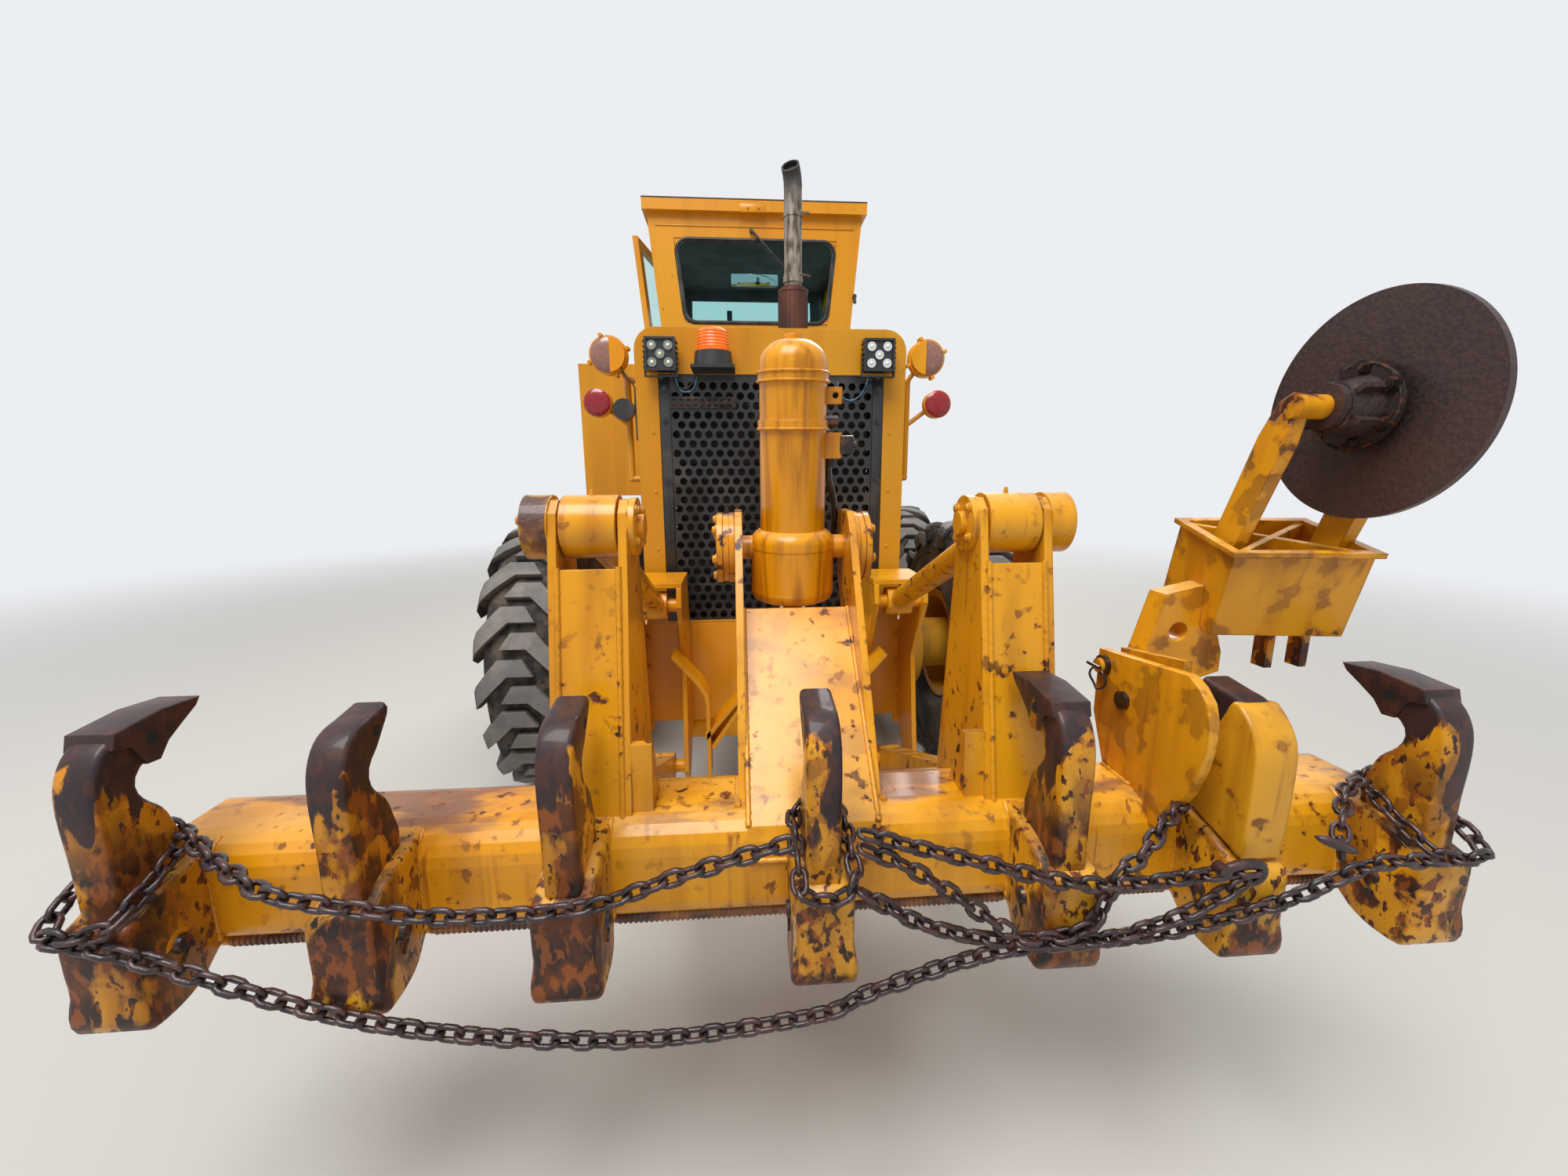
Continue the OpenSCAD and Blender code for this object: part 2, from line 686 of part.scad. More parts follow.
module console() {
  color("#26272a") {
    box([-120, cab_front - 330, cab_floor + cab_wall], [120, cab_front - 190, cab_floor + 820]);
    translate([0, cab_front - 320, cab_floor + 860]) rotate([25, 0, 0])
      rotate_extrude($fn = 48) translate([190, 0]) circle(r = 14, $fn = 8);
    strut([0, cab_front - 280, cab_floor + 780], [0, cab_front - 320, cab_floor + 860], 30, 24);
    translate([0, cab_front - 320, cab_floor + 860]) rotate([25, 0, 0])
      for (a = [90, 210, 330]) rotate([0, 0, a]) rotate([0, 90, 0]) cylinder(h = 190, r = 9, $fn = 16);
  }
}

// Front axle

beam_half_y = 90;
pivot_z = 860;
lean_top_z = 990;
lean_bar_y = front_y + 150;
tie_z = 518;
arm_t = 30;
tie_drop = 50;
tie_slack = 18;
tie_back = 280;
tie_x = king_x;
fork_low = 600;
fork_high = 850;
fork_t = 45;

module front_axle() {
  color("#c8901c") {
    difference() {
      union() {
        box([-lean_x, front_y - beam_half_y, lean_z - 75], [lean_x, front_y + beam_half_y, lean_z + 75]);
        box([-120, front_y - beam_half_y, lean_z], [120, front_y + beam_half_y, pivot_z]);
        bar_y(85, front_y - beam_half_y, front_y + beam_half_y, [0, pivot_z]);
      }
      boxes([lean_x - 20, front_y - 200, 0], [lean_x + 100, front_y + 200, 2000]);
    }
    for (s = [-1, 1]) bar_y(60, front_y - beam_half_y, front_y + beam_half_y, [s * lean_x, lean_z]);
    for (s = [-1, 1]) bar_y(king_r, front_y - 140, front_y + 140, [s * lean_x, lean_z]);
    bar_y(45, front_y - 240, front_y + 280, [0, pivot_z]);
  }
}

module yoke(side) {
  color("#c8901c") mirror([side < 0 ? 1 : 0, 0, 0]) difference() {
    union() {
      box([lean_x + 68, front_y - 130, fork_low], [lean_x + 98, front_y + 130, lean_top_z + 20]);
      for (y = [front_y - 130, front_y + beam_half_y + 8])
        side_lug(y);
      for (z = [fork_low - fork_t, fork_high]) {
        box([lean_x + 68, front_y - 60, z], [king_x, front_y + 60, z + fork_t]);
        translate([king_x, front_y, z]) cylinder(h = fork_t, r = 60);
      }
      translate([king_x, front_y, fork_low - 20]) cylinder(h = fork_high - fork_low + 40, r = king_r);
      // Lug of the lean bar
      box([lean_x - 30, front_y + 105, lean_top_z - 30], [lean_x + 70, front_y + 130, lean_top_z + 20]);
      bar_y(link_ball_r, front_y + 105, lean_bar_y + 25, [lean_x, lean_top_z]);
    }
    bar_y(king_r + pin_gap, front_y - 200, front_y + 200, [lean_x, lean_z]);
  }
}

// One ear of a yoke, beside the beam's end
module side_lug(y) {
  t = 130 - beam_half_y - 8;
  box([lean_x, y, lean_z - 55], [lean_x + 70, y + t, lean_z + 55]);
  bar_y(55, y, y + t, [lean_x, lean_z]);
}

module lean_bar() {
  color("#c8901c") difference() {
    union() {
      box([-lean_x, lean_bar_y - 15, lean_top_z - 30], [lean_x, lean_bar_y + 15, lean_top_z + 30]);
      for (s = [-1, 1]) bar_y(30, lean_bar_y - 15, lean_bar_y + 15, [s * lean_x, lean_top_z]);
    }
    for (s = [-1, 1])
      bar_y(link_ball_r + pin_gap, lean_bar_y - 40, lean_bar_y + 40, [s * lean_x, lean_top_z]);
  }
}

module knuckle(side) {
  color("#c8901c") mirror([side < 0 ? 1 : 0, 0, 0]) difference() {
    union() {
      translate([king_x, front_y, fork_low + 2]) cylinder(h = fork_high - fork_low - 4, r = 68);
      bar_x(60, king_x, king_x + 100, [front_y, axle_z]);
      bar_x(hub_r - 20, king_x + 80, track_half + rim_web - soft_gap, [front_y, axle_z]);
      bar_x(spindle_r, king_x + 80, spindle_end, [front_y, axle_z]);
      // Steering arm, which passes under the lower fork
      translate([0, front_y, tie_z]) linear_extrude(arm_t)
        polygon([[king_x + 115, 50], [king_x + 115, -60], [tie_x + 32, -tie_back],
          [tie_x - 32, -tie_back], [king_x + 45, -40], [king_x + 75, 50]]);
      box([king_x + 80, front_y - 50, tie_z], [king_x + 115, front_y + 50, axle_z - 60]);
      translate([tie_x, front_y - tie_back, tie_z]) cylinder(h = arm_t, r = 32);
      if (side > 0)
        translate([tie_x, front_y - tie_back, tie_z - tie_drop - 22])
          cylinder(h = tie_drop + 23, r = link_ball_r);
    }
    translate([king_x, front_y, 0]) cylinder(h = 2000, r = king_r + pin_gap);
    if (side < 0)
      translate([tie_x, front_y - tie_back, 0]) cylinder(h = 2000, r = link_ball_r + pin_gap);
  }
}

module tie_stud() {
  color("#8a8a88") translate([-tie_x, front_y - tie_back, 0]) {
    translate([0, 0, tie_z - 6]) cylinder(h = arm_t + 10, r = link_ball_r);
    translate([0, 0, tie_z - tie_drop - 16]) cylinder(h = tie_drop + 15, r = 22);
    bar_y(12, -60, 60, [0, tie_z - tie_drop]);
  }
}

module tie_rod() {
  y = front_y - tie_back;
  z = tie_z - tie_drop;
  color("#c8901c") difference() {
    union() {
      bar_x(20, -tie_x + 60, tie_x - link_ball_r - tie_slack - 3, [y, z]);
      for (s = [-1, 1])
        box([-tie_x - 16, y + s * 42 - 12, z - 18], [-tie_x + 66, y + s * 42 + 12, z + 18]);
      box([-tie_x + 40, y - 54, z - 18], [-tie_x + 66, y + 54, z + 18]);
      translate([tie_x, y, z - 12]) cylinder(h = 24, r = link_ball_r + tie_slack + 16);
    }
    bar_y(12 + pin_gap, y - 100, y + 100, [-tie_x, z]);
    // The eye over the right stud is loose, so that the rod can tilt as the wheels lean
    translate([tie_x, y, 0]) cylinder(h = 2000, r = link_ball_r + tie_slack);
  }
}

// Blade

ball_y = front_y - 680;
ball_z = 920;
ring_low = 800;
ring_t = 75;
drawbar_low = ring_low + ring_t + soft_gap;
drawbar_t = 110;
rod_ball_x = saddle_x;
lift_slack = 7;
rod_ball = [circle_y - 50, 1060];
// Back of the moldboard's slide rails and their heights
rail_y = circle_y - 235.3;
low_rail_z = 205;
high_rail_z = 525;

module drawbar() {
  color("#c8901c") difference() {
    union() {
      translate([0, ball_y, ball_z]) sphere(r = 60);
      for (s = [-1, 1]) hull() {
        translate([s * 15 - 45, ball_y - 160, drawbar_low]) cube([90, 80, drawbar_t]);
        translate([s * 470 - 60, circle_y + 60, drawbar_low]) cube([120, 80, drawbar_t]);
      }
      strut([0, ball_y - 120, ball_z], [0, ball_y - 20, ball_z], 35);
      for (s = [-1, 1])
        box([s * 470 - 60, circle_y - 500, drawbar_low],
          [s * 470 + 60, circle_y + 100, drawbar_low + drawbar_t]);
      box([-530, circle_y - 560, drawbar_low], [530, circle_y - 440, drawbar_low + drawbar_t]);
      box([-530, circle_y - 60, drawbar_low], [530, circle_y + 60, drawbar_low + 60]);
      translate([0, circle_y, ring_low]) cylinder(h = drawbar_low + 61 - ring_low, r = 560);
      for (s = [-1, 1])
        box([s * (rod_ball_x - 43) - 12, rod_ball[0] - 40, drawbar_low + drawbar_t - 1],
          [s * (rod_ball_x - 43) + 12, rod_ball[0] + 40, rod_ball[1] + 30]);
      for (s = [-1, 1])
        bar_x(22, s * (rod_ball_x - 14) - 40, s * (rod_ball_x - 14) + 40, rod_ball);
    }
    translate([0, circle_y, 0]) cylinder(h = 2000, r = 470);
  }
}

module turning_circle() {
  color("#c8901c") {
    translate([0, circle_y, ring_low]) difference() {
      cylinder(h = ring_t, r = circle_r, $fn = 96);
      translate([0, 0, -1]) cylinder(h = ring_t + 2, r = 600, $fn = 96);
    }
    // Arms that hang the blade's slide rails
    for (s = [-1, 1])
      side_plate([[circle_y - 240, ring_low + 5], [circle_y - 560, ring_low + 5],
        [rail_y - 120, 260], [rail_y - 40, low_rail_z - 60], [rail_y + 24, low_rail_z - 60],
        [rail_y + 24, low_rail_z - 20 - soft_gap], [rail_y, low_rail_z - 20 - soft_gap],
        [rail_y, high_rail_z + 20 + soft_gap], [rail_y + 24, high_rail_z + 20 + soft_gap],
        [rail_y + 24, high_rail_z + 60]], s * 560 - 30, s * 560 + 30);
  }
}

blade_mid = blade_clear + blade_h / 2;
blade_axis_y = circle_y - 180 + blade_r;

module moldboard() {
  half = asin(blade_h / 2 / (blade_r + blade_t));
  color("#8d8a84") for (z = [low_rail_z, high_rail_z])
    box([-1150, rail_y + soft_gap, z - 20], [1150, rail_y + 70, z + 20]);
  color("#8d8a84") difference() {
    translate([-blade_len / 2, blade_axis_y, blade_mid]) rotate([0, 90, 0])
      difference() {
        cylinder(h = blade_len, r = blade_r + blade_t, $fn = 96);
        translate([0, 0, -1]) cylinder(h = blade_len + 2, r = blade_r, $fn = 96);
      }
    // Keep the arc behind the chord
    box([-3000, blade_axis_y - (blade_r + blade_t) * cos(half), -200],
      [3000, blade_axis_y + 1000, 2000]);
  }
  // Cutting edge bolted along the foot, and the taller bits at the ends
  color("#8d8a84") {
    side_plate(edge_outline(half, 26), -blade_len / 2, blade_len / 2);
    side_plates(edge_outline(half, 62), blade_len / 2 - 150, blade_len / 2);
  }
}

// Outline of a flat edge across the curve's foot, from the tip up through an angle
function edge_outline(half, turn) = [
  for (p = [[half - 1, 6], [half - turn, 6], [half - turn, -16], [half - 1, -16]])
    [blade_axis_y - (blade_r + p[1]) * cos(p[0]), blade_mid - (blade_r + p[1]) * sin(p[0])]];

// Straight line from the trunnion on the saddle to the ball on the drawbar
trunnion = [saddle_y, saddle_z];
lift_run = norm(rod_ball - trunnion);
lift_tilt = atan2(trunnion[0] - rod_ball[0], trunnion[1] - rod_ball[1]);

// Puts a cylinder drawn downwards along -Z onto a lift cylinder's line
module on_lift_line(side) {
  translate([side * saddle_x, trunnion[0], trunnion[1]]) rotate([-lift_tilt, 0, 0]) children();
}

module lift_barrel(side) {
  color("#c8901c") on_lift_line(side) {
    difference() {
      translate([0, 0, -260]) cylinder(h = 1010, r = 62);
      translate([0, 0, -225]) cylinder(h = 945, r = 50);
      translate([0, 0, -300]) cylinder(h = 200, r = 28 + soft_gap);
    }
    bar_x(stub_r, -side * 108 - 54, -side * 108 + 54, [0, 0]);
  }
}

module lift_rod(side) {
  color("#b9bcc0") on_lift_line(side) difference() {
    union() {
      translate([0, 0, -lift_run + 30]) cylinder(h = 1100, r = 28);
      translate([0, 0, -lift_run + 1080]) cylinder(h = 50, r = 50 - soft_gap);
      bar_x(42, -18, 18, [0, -lift_run]);
    }
    // The open pivot of the linkage, loose enough for the drift of the cylinder's line
    bar_x(22 + lift_slack, -100, 100, [0, -lift_run]);
  }
}

// Ripper

heel_y = -length / 2 + chain_w / 2 + chain_off;
beam_back = heel_y + 170;
beam_mid = [beam_back + beam_side / 2, beam_top - beam_side / 2];
shank_x = [-1300, -890, -497, 0, 497, 890, 1300];
mast_in = link_x - 75 - plate_t;
mast_out = link_x + 57;

// Places on the ripper's section: behind the heel and above the beam's top
function at_heel(points) = [for (p = points) [heel_y + p[0], beam_top + p[1]]];
shank_half = shank_t / 2;
holder_half = shank_half + soft_gap + cheek_t;
shank_foot = -243;

// Rear and front edges that all shanks share
shank_rear = [[17.5, shank_foot], [25, -60], [27, 60], [25, 165], [36, 228], [74, 275]];
shank_front = [[105, 182], [118, 140], [146, 108], [174, 23], [170, 2], [170, shank_foot]];
nose = [[150, 284], [186, 292], [190, 272], [140, 215]];
tooth = [[72, 262], [78, 286], [170, 297], [252, 292], [240, 276], [170, 232], [150, 204], [126, 206],
  [104, 262]];
// The broad guard over the sixth shank
guard = [[16, -38], [10, 73], [10, 139], [14, 203], [39, 242], [88, 275], [188, 283], [144, 246],
  [137, 179], [167, 67], [167, 8], [119, -12]];
guard_half = 45;
toothed = [-1300, 497, 1300];
guarded = 890;
shank_pin = [heel_y + 90, beam_top - 150];
nose_hole = [heel_y + 140, beam_top + 252];

module ripper_shanks() {
  color("#5a3a22") for (x = shank_x) difference() {
    union() {
      side_plate(at_heel(concat(shank_rear, nose, shank_front)), x - shank_half, x + shank_half);
      if (len(search(x, toothed)) > 0)
        side_plate(at_heel(tooth), x - shank_half - 7, x + shank_half + 7);
      if (x == guarded)
        side_plate(at_heel(guard), x - guard_half, x + guard_half);
    }
    bar_x(16 + soft_gap, x - 100, x + 100, shank_pin);
    bar_x(13, x - 100, x + 100, nose_hole);
  }
}

// Outline of a holder's cheeks and of the wider toe at its foot
holder = [[220, -8], [100, -22], [36, -50], [8, -62], [3, -190], [3, -240], [24, -262], [70, -262],
  [170, -225], [220, -215]];
toe = [[3, -205], [3, -242], [24, -264], [72, -264], [112, -250], [100, -215]];
slot = [[17.2, shank_foot - soft_gap], [24.7, -61], [24.7, 0], [170, 0], [170, shank_foot - soft_gap]];

module shank_holder(x) {
  side_plate(at_heel(holder), x - holder_half, x + holder_half);
  side_plate(at_heel(toe), x - holder_half - 7, x + holder_half + 7);
}

// A quarter of a rounded corner in five steps, from angle a
function corner(y, z, r, a) = [for (i = [0 : 5]) [y + r * cos(a + 18 * i), z + r * sin(a + 18 * i)]];
beam_front = beam_back + beam_side;
beam_low = beam_top - beam_side;
beam_outline = concat(corner(beam_front - 45, beam_top - 45, 45, 0),
  corner(beam_back + 75, beam_top - 75, 75, 90), corner(beam_back + 45, beam_low + 45, 45, 180),
  corner(beam_front - 45, beam_low + 45, 45, 270));

side_mast = [[beam_back + 40, beam_top - 60], [upper_rear[0] - 60, upper_rear[1] + 35],
  [upper_rear[0] - 30, upper_rear[1] + 62], [upper_rear[0] + 35, upper_rear[1] + 62],
  [upper_rear[0] + 70, upper_rear[1] + 25], [upper_rear[0] + 75, upper_rear[1] - 60],
  [lower_rear[0] + 75, lower_rear[1] + 60], [lower_rear[0] + 75, lower_rear[1] - 30],
  [lower_rear[0] + 40, lower_rear[1] - 70], [beam_front - 30, beam_low + 10],
  [beam_front - 30, beam_top - 60]];
// Rear edge of a side mast, for the cover between its plates
mast_heel = [beam_back + 40, beam_top - 60];
mast_head = [upper_rear[0] - 60, upper_rear[1] + 35];
cover_top = mast_heel + 0.83 * (mast_head - mast_heel);
mast_cover = [mast_heel, cover_top, cover_top + [16, -6], mast_heel + [36, 0]];
trunnion_back = [upper_rear[0] + 312, 1570];
centre_in = 145;
centre_mast = [[beam_back + 60, beam_top - 40], [trunnion_back[0] - 105, 1640],
  [trunnion_back[0] - 70, 1675],
  [trunnion_back[0] + 50, 1675], [trunnion_back[0] + 80, 1640], [trunnion_back[0] + 80, 1490],
  [trunnion_back[0] - 60, 1300], [beam_front + 10, beam_top - 60], [beam_front - 30, beam_low + 60]];
// Folded cover over the beam's rounded rear edge, between the centre plates
centre_cover = [[beam_back, beam_top - 95], [beam_back, beam_top - 66], [beam_back + 16, beam_top - 22],
  [beam_back + 60, beam_top + 16], [trunnion_back[0] - 105, 1412], [trunnion_back[0] - 85, 1406],
  [beam_back + 84, beam_top - 2], [beam_back + 84, beam_top - 95]];

module ripper_beam() {
  color("#c8901c") difference() {
    union() {
      side_plate(beam_outline, -beam_half, beam_half);
      // Ribbed rod along the beam's lower rear edge
      bar_x(13, shank_x[0], -shank_x[0], [beam_back + 30, beam_low - 5], 16);
      difference() {
        for (x = shank_x) shank_holder(x);
        for (x = shank_x) side_plate(at_heel(slot), x - shank_half - soft_gap, x + shank_half + soft_gap);
      }
      for (x = shank_x) {
        bar_x(16, x - holder_half - 14, x + holder_half + 14, shank_pin);
        for (s = [-1, 1])
          bar_x(30, x + s * (holder_half + 3) - 4, x + s * (holder_half + 3) + 4, shank_pin);
      }
      side_plates(side_mast, mast_in, mast_in + plate_t);
      side_plates(side_mast, mast_out, mast_out + plate_t);
      side_plates(mast_cover, mast_in + plate_t - 1, mast_out + 1);
      for (s = [-1, 1]) {
        bar_x(link_pin_r, s * link_x - 125, s * link_x + 125, upper_rear);
        bar_x(link_pin_r, s * link_x - 95, s * link_x + 95, lower_rear);
        // Cap outside and flange inside on the mast's head
        bar_x(72, s * (mast_out + plate_t + 28) - 29, s * (mast_out + plate_t + 28) + 29, upper_rear);
        bar_x(66, s * (mast_in - 7) - 8, s * (mast_in - 7) + 8, upper_rear);
        // Gusset feet where the inner plates meet the beam
        side_plate([[beam_back + 60, beam_top - 30], [beam_back + 78, beam_top + 150],
          [beam_back + 98, beam_top + 150], [beam_front - 60, beam_top - 30]],
          s * (mast_in - 22) - 24, s * (mast_in - 22) + 24);
      }
      side_plates(centre_mast, centre_in, centre_in + plate_t);
      side_plate(centre_cover, -centre_in - 1, centre_in + 1);
      for (s = [-1, 1])
        bar_x(86, s * (centre_in + plate_t + 6) - 7, s * (centre_in + plate_t + 6) + 7, trunnion_back);
    }
    bar_x(34 + pin_gap, -300, 300, trunnion_back);
  }
}

eye_r = 56;
head_r = 72;
head_gap = 5;

module upper_links() {
  color("#c8901c") for (s = [-1, 1]) difference() {
    union() {
      strut([s * link_x, upper_front[0], upper_front[1]], [s * link_x, upper_rear[0], upper_rear[1]], 40);
      bar_x(eye_r, s * link_x - 50, s * link_x + 50, upper_front);
      mirror([s < 0 ? 1 : 0, 0, 0])
        bar_x(head_r, mast_in + plate_t + head_gap, mast_out - head_gap, upper_rear);
    }
    bar_x(link_pin_r + pin_gap, s * link_x - 60, s * link_x + 60, upper_front);
    bar_x(link_pin_r + pin_gap, s * link_x - 90, s * link_x + 90, upper_rear);
  }
}

cross_place = lower_front + 0.85 * (lower_rear - lower_front);

module lower_links() {
  color("#c8901c") difference() {
    union() {
      for (s = [-1, 1]) {
        side_plate([lower_front + [0, 48], lower_rear + [0, 48], lower_rear - [0, 48],
          lower_front - [0, 48]], s * link_x - 45, s * link_x + 45);
        bar_x(eye_r, s * link_x - 45, s * link_x + 45, lower_front);
        bar_x(eye_r, s * link_x - 45, s * link_x + 45, lower_rear);
      }
      bar_x(40, -link_x, link_x, cross_place);
    }
    for (s = [-1, 1]) {
      bar_x(link_pin_r + pin_gap, s * link_x - 60, s * link_x + 60, lower_front);
      bar_x(link_pin_r + pin_gap, s * link_x - 60, s * link_x + 60, lower_rear);
    }
  }
}

// Line of the ripper's lift cylinder, trunnion above and rod eye below
ripper_slack = 5;
ripper_run = norm(rod_eye - trunnion_back);
ripper_tilt = atan2(trunnion_back[0] - rod_eye[0], trunnion_back[1] - rod_eye[1]);

module on_ripper_line() {
  translate([0, trunnion_back[0], trunnion_back[1]]) rotate([-ripper_tilt, 0, 0]) children();
}

module ripper_barrel() {
  color("#c8901c") on_ripper_line() {
    difference() {
      union() {
        translate([0, 0, -130]) cylinder(h = 620, r = barrel_r);
        translate([0, 0, 489]) cylinder(h = 65, r1 = barrel_r, r2 = barrel_r - 45);
        translate([0, 0, 550]) cylinder(h = 22, r = 26);
        for (z = [330, 452]) translate([0, 0, z]) cylinder(h = 22, r = barrel_r + 5);
        // Lifting tab and the block that feeds the barrel, on its right side
        box([barrel_r - 12, -8, 395], [barrel_r + 42, 8, 440]);
        box([barrel_r - 12, -28, 250], [barrel_r + 40, 28, 320]);
        translate([0, 0, -130]) cylinder(h = 150, r = barrel_r + 27);
      }
      translate([0, 0, -100]) cylinder(h = 580, r = barrel_bore);
      translate([0, 0, -200]) cylinder(h = 200, r = rod_r + soft_gap);
      translate([barrel_r + 24, 0, 418]) rotate([90, 0, 0]) cylinder(h = 40, r = 9, center = true);
    }
    for (s = [-1, 1])
      bar_x(34, s * 135 - 40, s * 135 + 40, [0, 0]);
  }
}

module ripper_rod() {
  color("#b9bcc0") on_ripper_line() difference() {
    union() {
      translate([0, 0, -ripper_run + 30]) cylinder(h = ripper_run - 60, r = rod_r);
      translate([0, 0, -60]) cylinder(h = 60, r = barrel_bore - soft_gap);
      bar_x(52, -42, 42, [0, -ripper_run]);
    }
    // The open pivot of the linkage, loose enough for the drift of the cylinder's line
    bar_x(link_pin_r + ripper_slack, -60, 60, [0, -ripper_run]);
  }
}

disc_x = 1220;
disc_at = [beam_mid[0] - 30, beam_top + 870];
shaft_r = 26;
box_half = [150, 113, 108];
box_at = [cutter_x, beam_mid[0] + 91, beam_top + 480];
box_turn = -8;
box_wall = 10;
hold_in = 765;
hold_out = 822;

// Puts the mount box, drawn about its own middle, where it leans over the beam
module on_box() {
  translate(box_at) rotate([0, 0, box_turn]) rotate([box_pitch, 0, 0]) children();
}

// One fork arm in the box's frame, its foot at x and its head towards the hub
module fork_arm(x, lean) {
  translate([x, -10, box_half[2] - 40]) rotate([0, lean, 0]) {
    side_plate([[-38, 0], [-44, 270], [-30, 345], [0, 372], [30, 345], [44, 270], [42, 0]], -14, 14);
  }
}

module cutter_arm() {
  low = -box_half;
  high = box_half;
  color("#c8901c") difference() {
    union() {
      on_box() {
        difference() {
          box(low, high);
          box(low + [box_wall, box_wall, box_wall], high - [box_wall, box_wall, -1]);
        }
        // Edge flange, and ribs that cross the open top
        difference() {
          box([low[0] - 12, low[1] - 12, high[2] - 12], [high[0] + 12, high[1] + 12, high[2]]);
          box([low[0] + box_wall, low[1] + box_wall, 0],
            [high[0] - box_wall, high[1] - box_wall, high[2] + 1]);
        }
        for (turn = [-37, 37]) rotate([0, 0, turn])
          box([-172, -7, high[2] - 60], [172, 7, high[2] - 6]);
        fork_arm(-105, 8);
        fork_arm(130, 7);
      }
      bar_x(shaft_r, disc_x - 180, disc_x + 70, disc_at);
      // Bracket plates on the beam
      for (x = [hold_in, hold_out])
        side_plate([[beam_back + 25, beam_top - 10],
          [beam_back + (x == hold_in ? -60 : 30), beam_top + 322],
          [beam_front + 14, beam_top + 291], [beam_front + 14, beam_top + 123], [beam_front - 45, beam_top],
          [beam_back + 75, beam_top], [beam_back + 50, beam_top - 3.5]], x, x + plate_t);
      box([hold_in + 1, beam_front - 85, beam_top], [hold_out + 1, beam_front - 45, beam_top + 160]);
      bar_x(18, hold_in - 22, hold_out + 60, [beam_front - 15, beam_top + 255]);
      bar_x(15, hold_in - 12, hold_out + 40, [beam_front - 100, beam_top + 194]);
      // Leg that carries the box
      difference() {
        along_y(box_at[1] - 20, box_at[1] + 42)
          polygon([[hold_out + plate_t - 1, beam_top + 175], [1045, beam_top + 240], [1045, beam_top + 290],
            [1010, beam_top + 392], [1000, beam_top + 465], [884, beam_top + 440],
            [hold_out + plate_t - 1, beam_top + 285]]);
        bar_y(24, box_at[1] - 40, box_at[1] + 60, [925, beam_top + 345]);
      }
      // Tabs under the box
      for (x = [1166, 1260])
        box([x, box_at[1] - 20, beam_top + 245], [x + 20, box_at[1] + 20, box_at[2] - 80]);
    }
  }
}

// Half section of the ribbed hub, columns are radius and place along X from the disc's middle
hub_section = [[shaft_r + pin_gap, -112], [48, -112], [50, -92], [66, -34], [88, -34], [88, -20],
  [70, -20], [70, 22], [56, 40], [shaft_r + pin_gap, 40]];

module cutter_disc() {
  color("#4b2f20") translate([disc_x, disc_at[0], disc_at[1]]) {
    difference() {
      bar_x(disc_r, -disc_t / 2, disc_t / 2, [0, 0], 96);
      bar_x(50, -50, 50, [0, 0]);
    }
    rotate([0, 90, 0]) rotate_extrude($fn = 72) polygon(hub_section);
    for (turn = [0 : 60 : 300]) rotate([turn, 0, 0])
      side_plate([[-6, 46], [6, 46], [6, 76], [-6, 76]], -92, -33);
  }
}

// Chains

chain_y = heel_y - chain_off;
// Runs of the chain, columns are x, ahead of the chain's plane, z
upper_run = [[-1238, 190, 1090], [-1160, 60, 1085], [-1060, 0, 1080], [-900, 0, 1045], [-700, 0, 1006],
  [-450, 0, 1008], [-280, 0, 1060], [-66, 0, 1120]];
lower_run = [[-1340, 0, 1000], [-1250, 0, 975], [-1140, 0, 925], [-885, 0, 810], [-615, 0, 742],
  [-310, 0, 715], [0, 0, 745], [70, 0, 780], [350, 0, 862], [670, 0, 878], [925, 0, 935], [1100, 0, 1005],
  [1250, 0, 1005]];
left_wrap = [[-1238, 200, 1095], [-1244, 60, 1030], [-1260, 0, 1005], [-1345, 0, 1005], [-1364, 60, 1040],
  [-1362, 200, 1115], [-1300, 240, 1130],
  [-1238, 200, 1095]];
centre_wrap = [[-60, 0, 1020], [-60, 70, 1085], [-60, 220, 1150], [0, 240, 1160], [60, 220, 1150],
  [60, 70, 1085], [60, 0, 1020], [0, 0, 996], [-60, 0, 1020]];
right_wrap = [[1236, 200, 1100], [1240, 60, 1030], [1260, 0, 1005], [1345, 0, 1015], [1364, 60, 1045],
  [1362, 200, 1115], [1300, 240, 1130],
  [1236, 200, 1100]];
right_runs = [[[60, 0, 1130], [290, 0, 1058], [526, 0, 995], [850, 0, 1010]],
  [[60, 0, 1100], [168, 0, 1045], [362, 0, 898]],
  [[60, 0, 1010], [188, 0, 930], [346, 0, 884], [540, 0, 870], [700, 0, 912], [835, 0, 985]],
  [[800, 150, 1090], [690, 0, 1080], [600, 0, 1010], [505, 0, 908], [380, 0, 890]]];

runs = concat([upper_run, lower_run, left_wrap, centre_wrap, right_wrap], right_runs);

// One link as a flat bar between two points, turned a quarter from its neighbours
module chain_link(a, b, turned, slim) {
  v = b - a;
  w = chain_w - slim;
  t = chain_t - slim;
  translate(a) rotate([0, acos(v[2] / norm(v)), atan2(v[1], v[0])]) rotate([0, 0, turned ? 90 : 0])
    translate([-w / 2, -t / 2, -chain_t / 2]) cube([w, t, norm(v) + chain_t]);
}

module chain(run, slim) {
  points = [for (p = run) [p[0], chain_y + p[1], p[2]]];
  for (i = [0 : len(points) - 2]) {
    v = points[i + 1] - points[i];
    n = max(1, round(norm(v) / link_pitch));
    for (k = [0 : n - 1])
      chain_link(points[i] + v * k / n, points[i] + v * (k + 1) / n, (i + k) % 2 == 0,
        slim + 0.11 * ((2 * i + k) % 5));
  }
}

module chains() {
  color("#3a2a20") {
    // Worn links differ a little, so that no two share a face where runs cross
    for (k = [0 : len(runs) - 1]) chain(runs[k], 0.35 * k);
    // Grab hook at the end of the upper right run
    bar_x(34, 806, 830, [chain_y + 14, 1010], 24);
  }
}

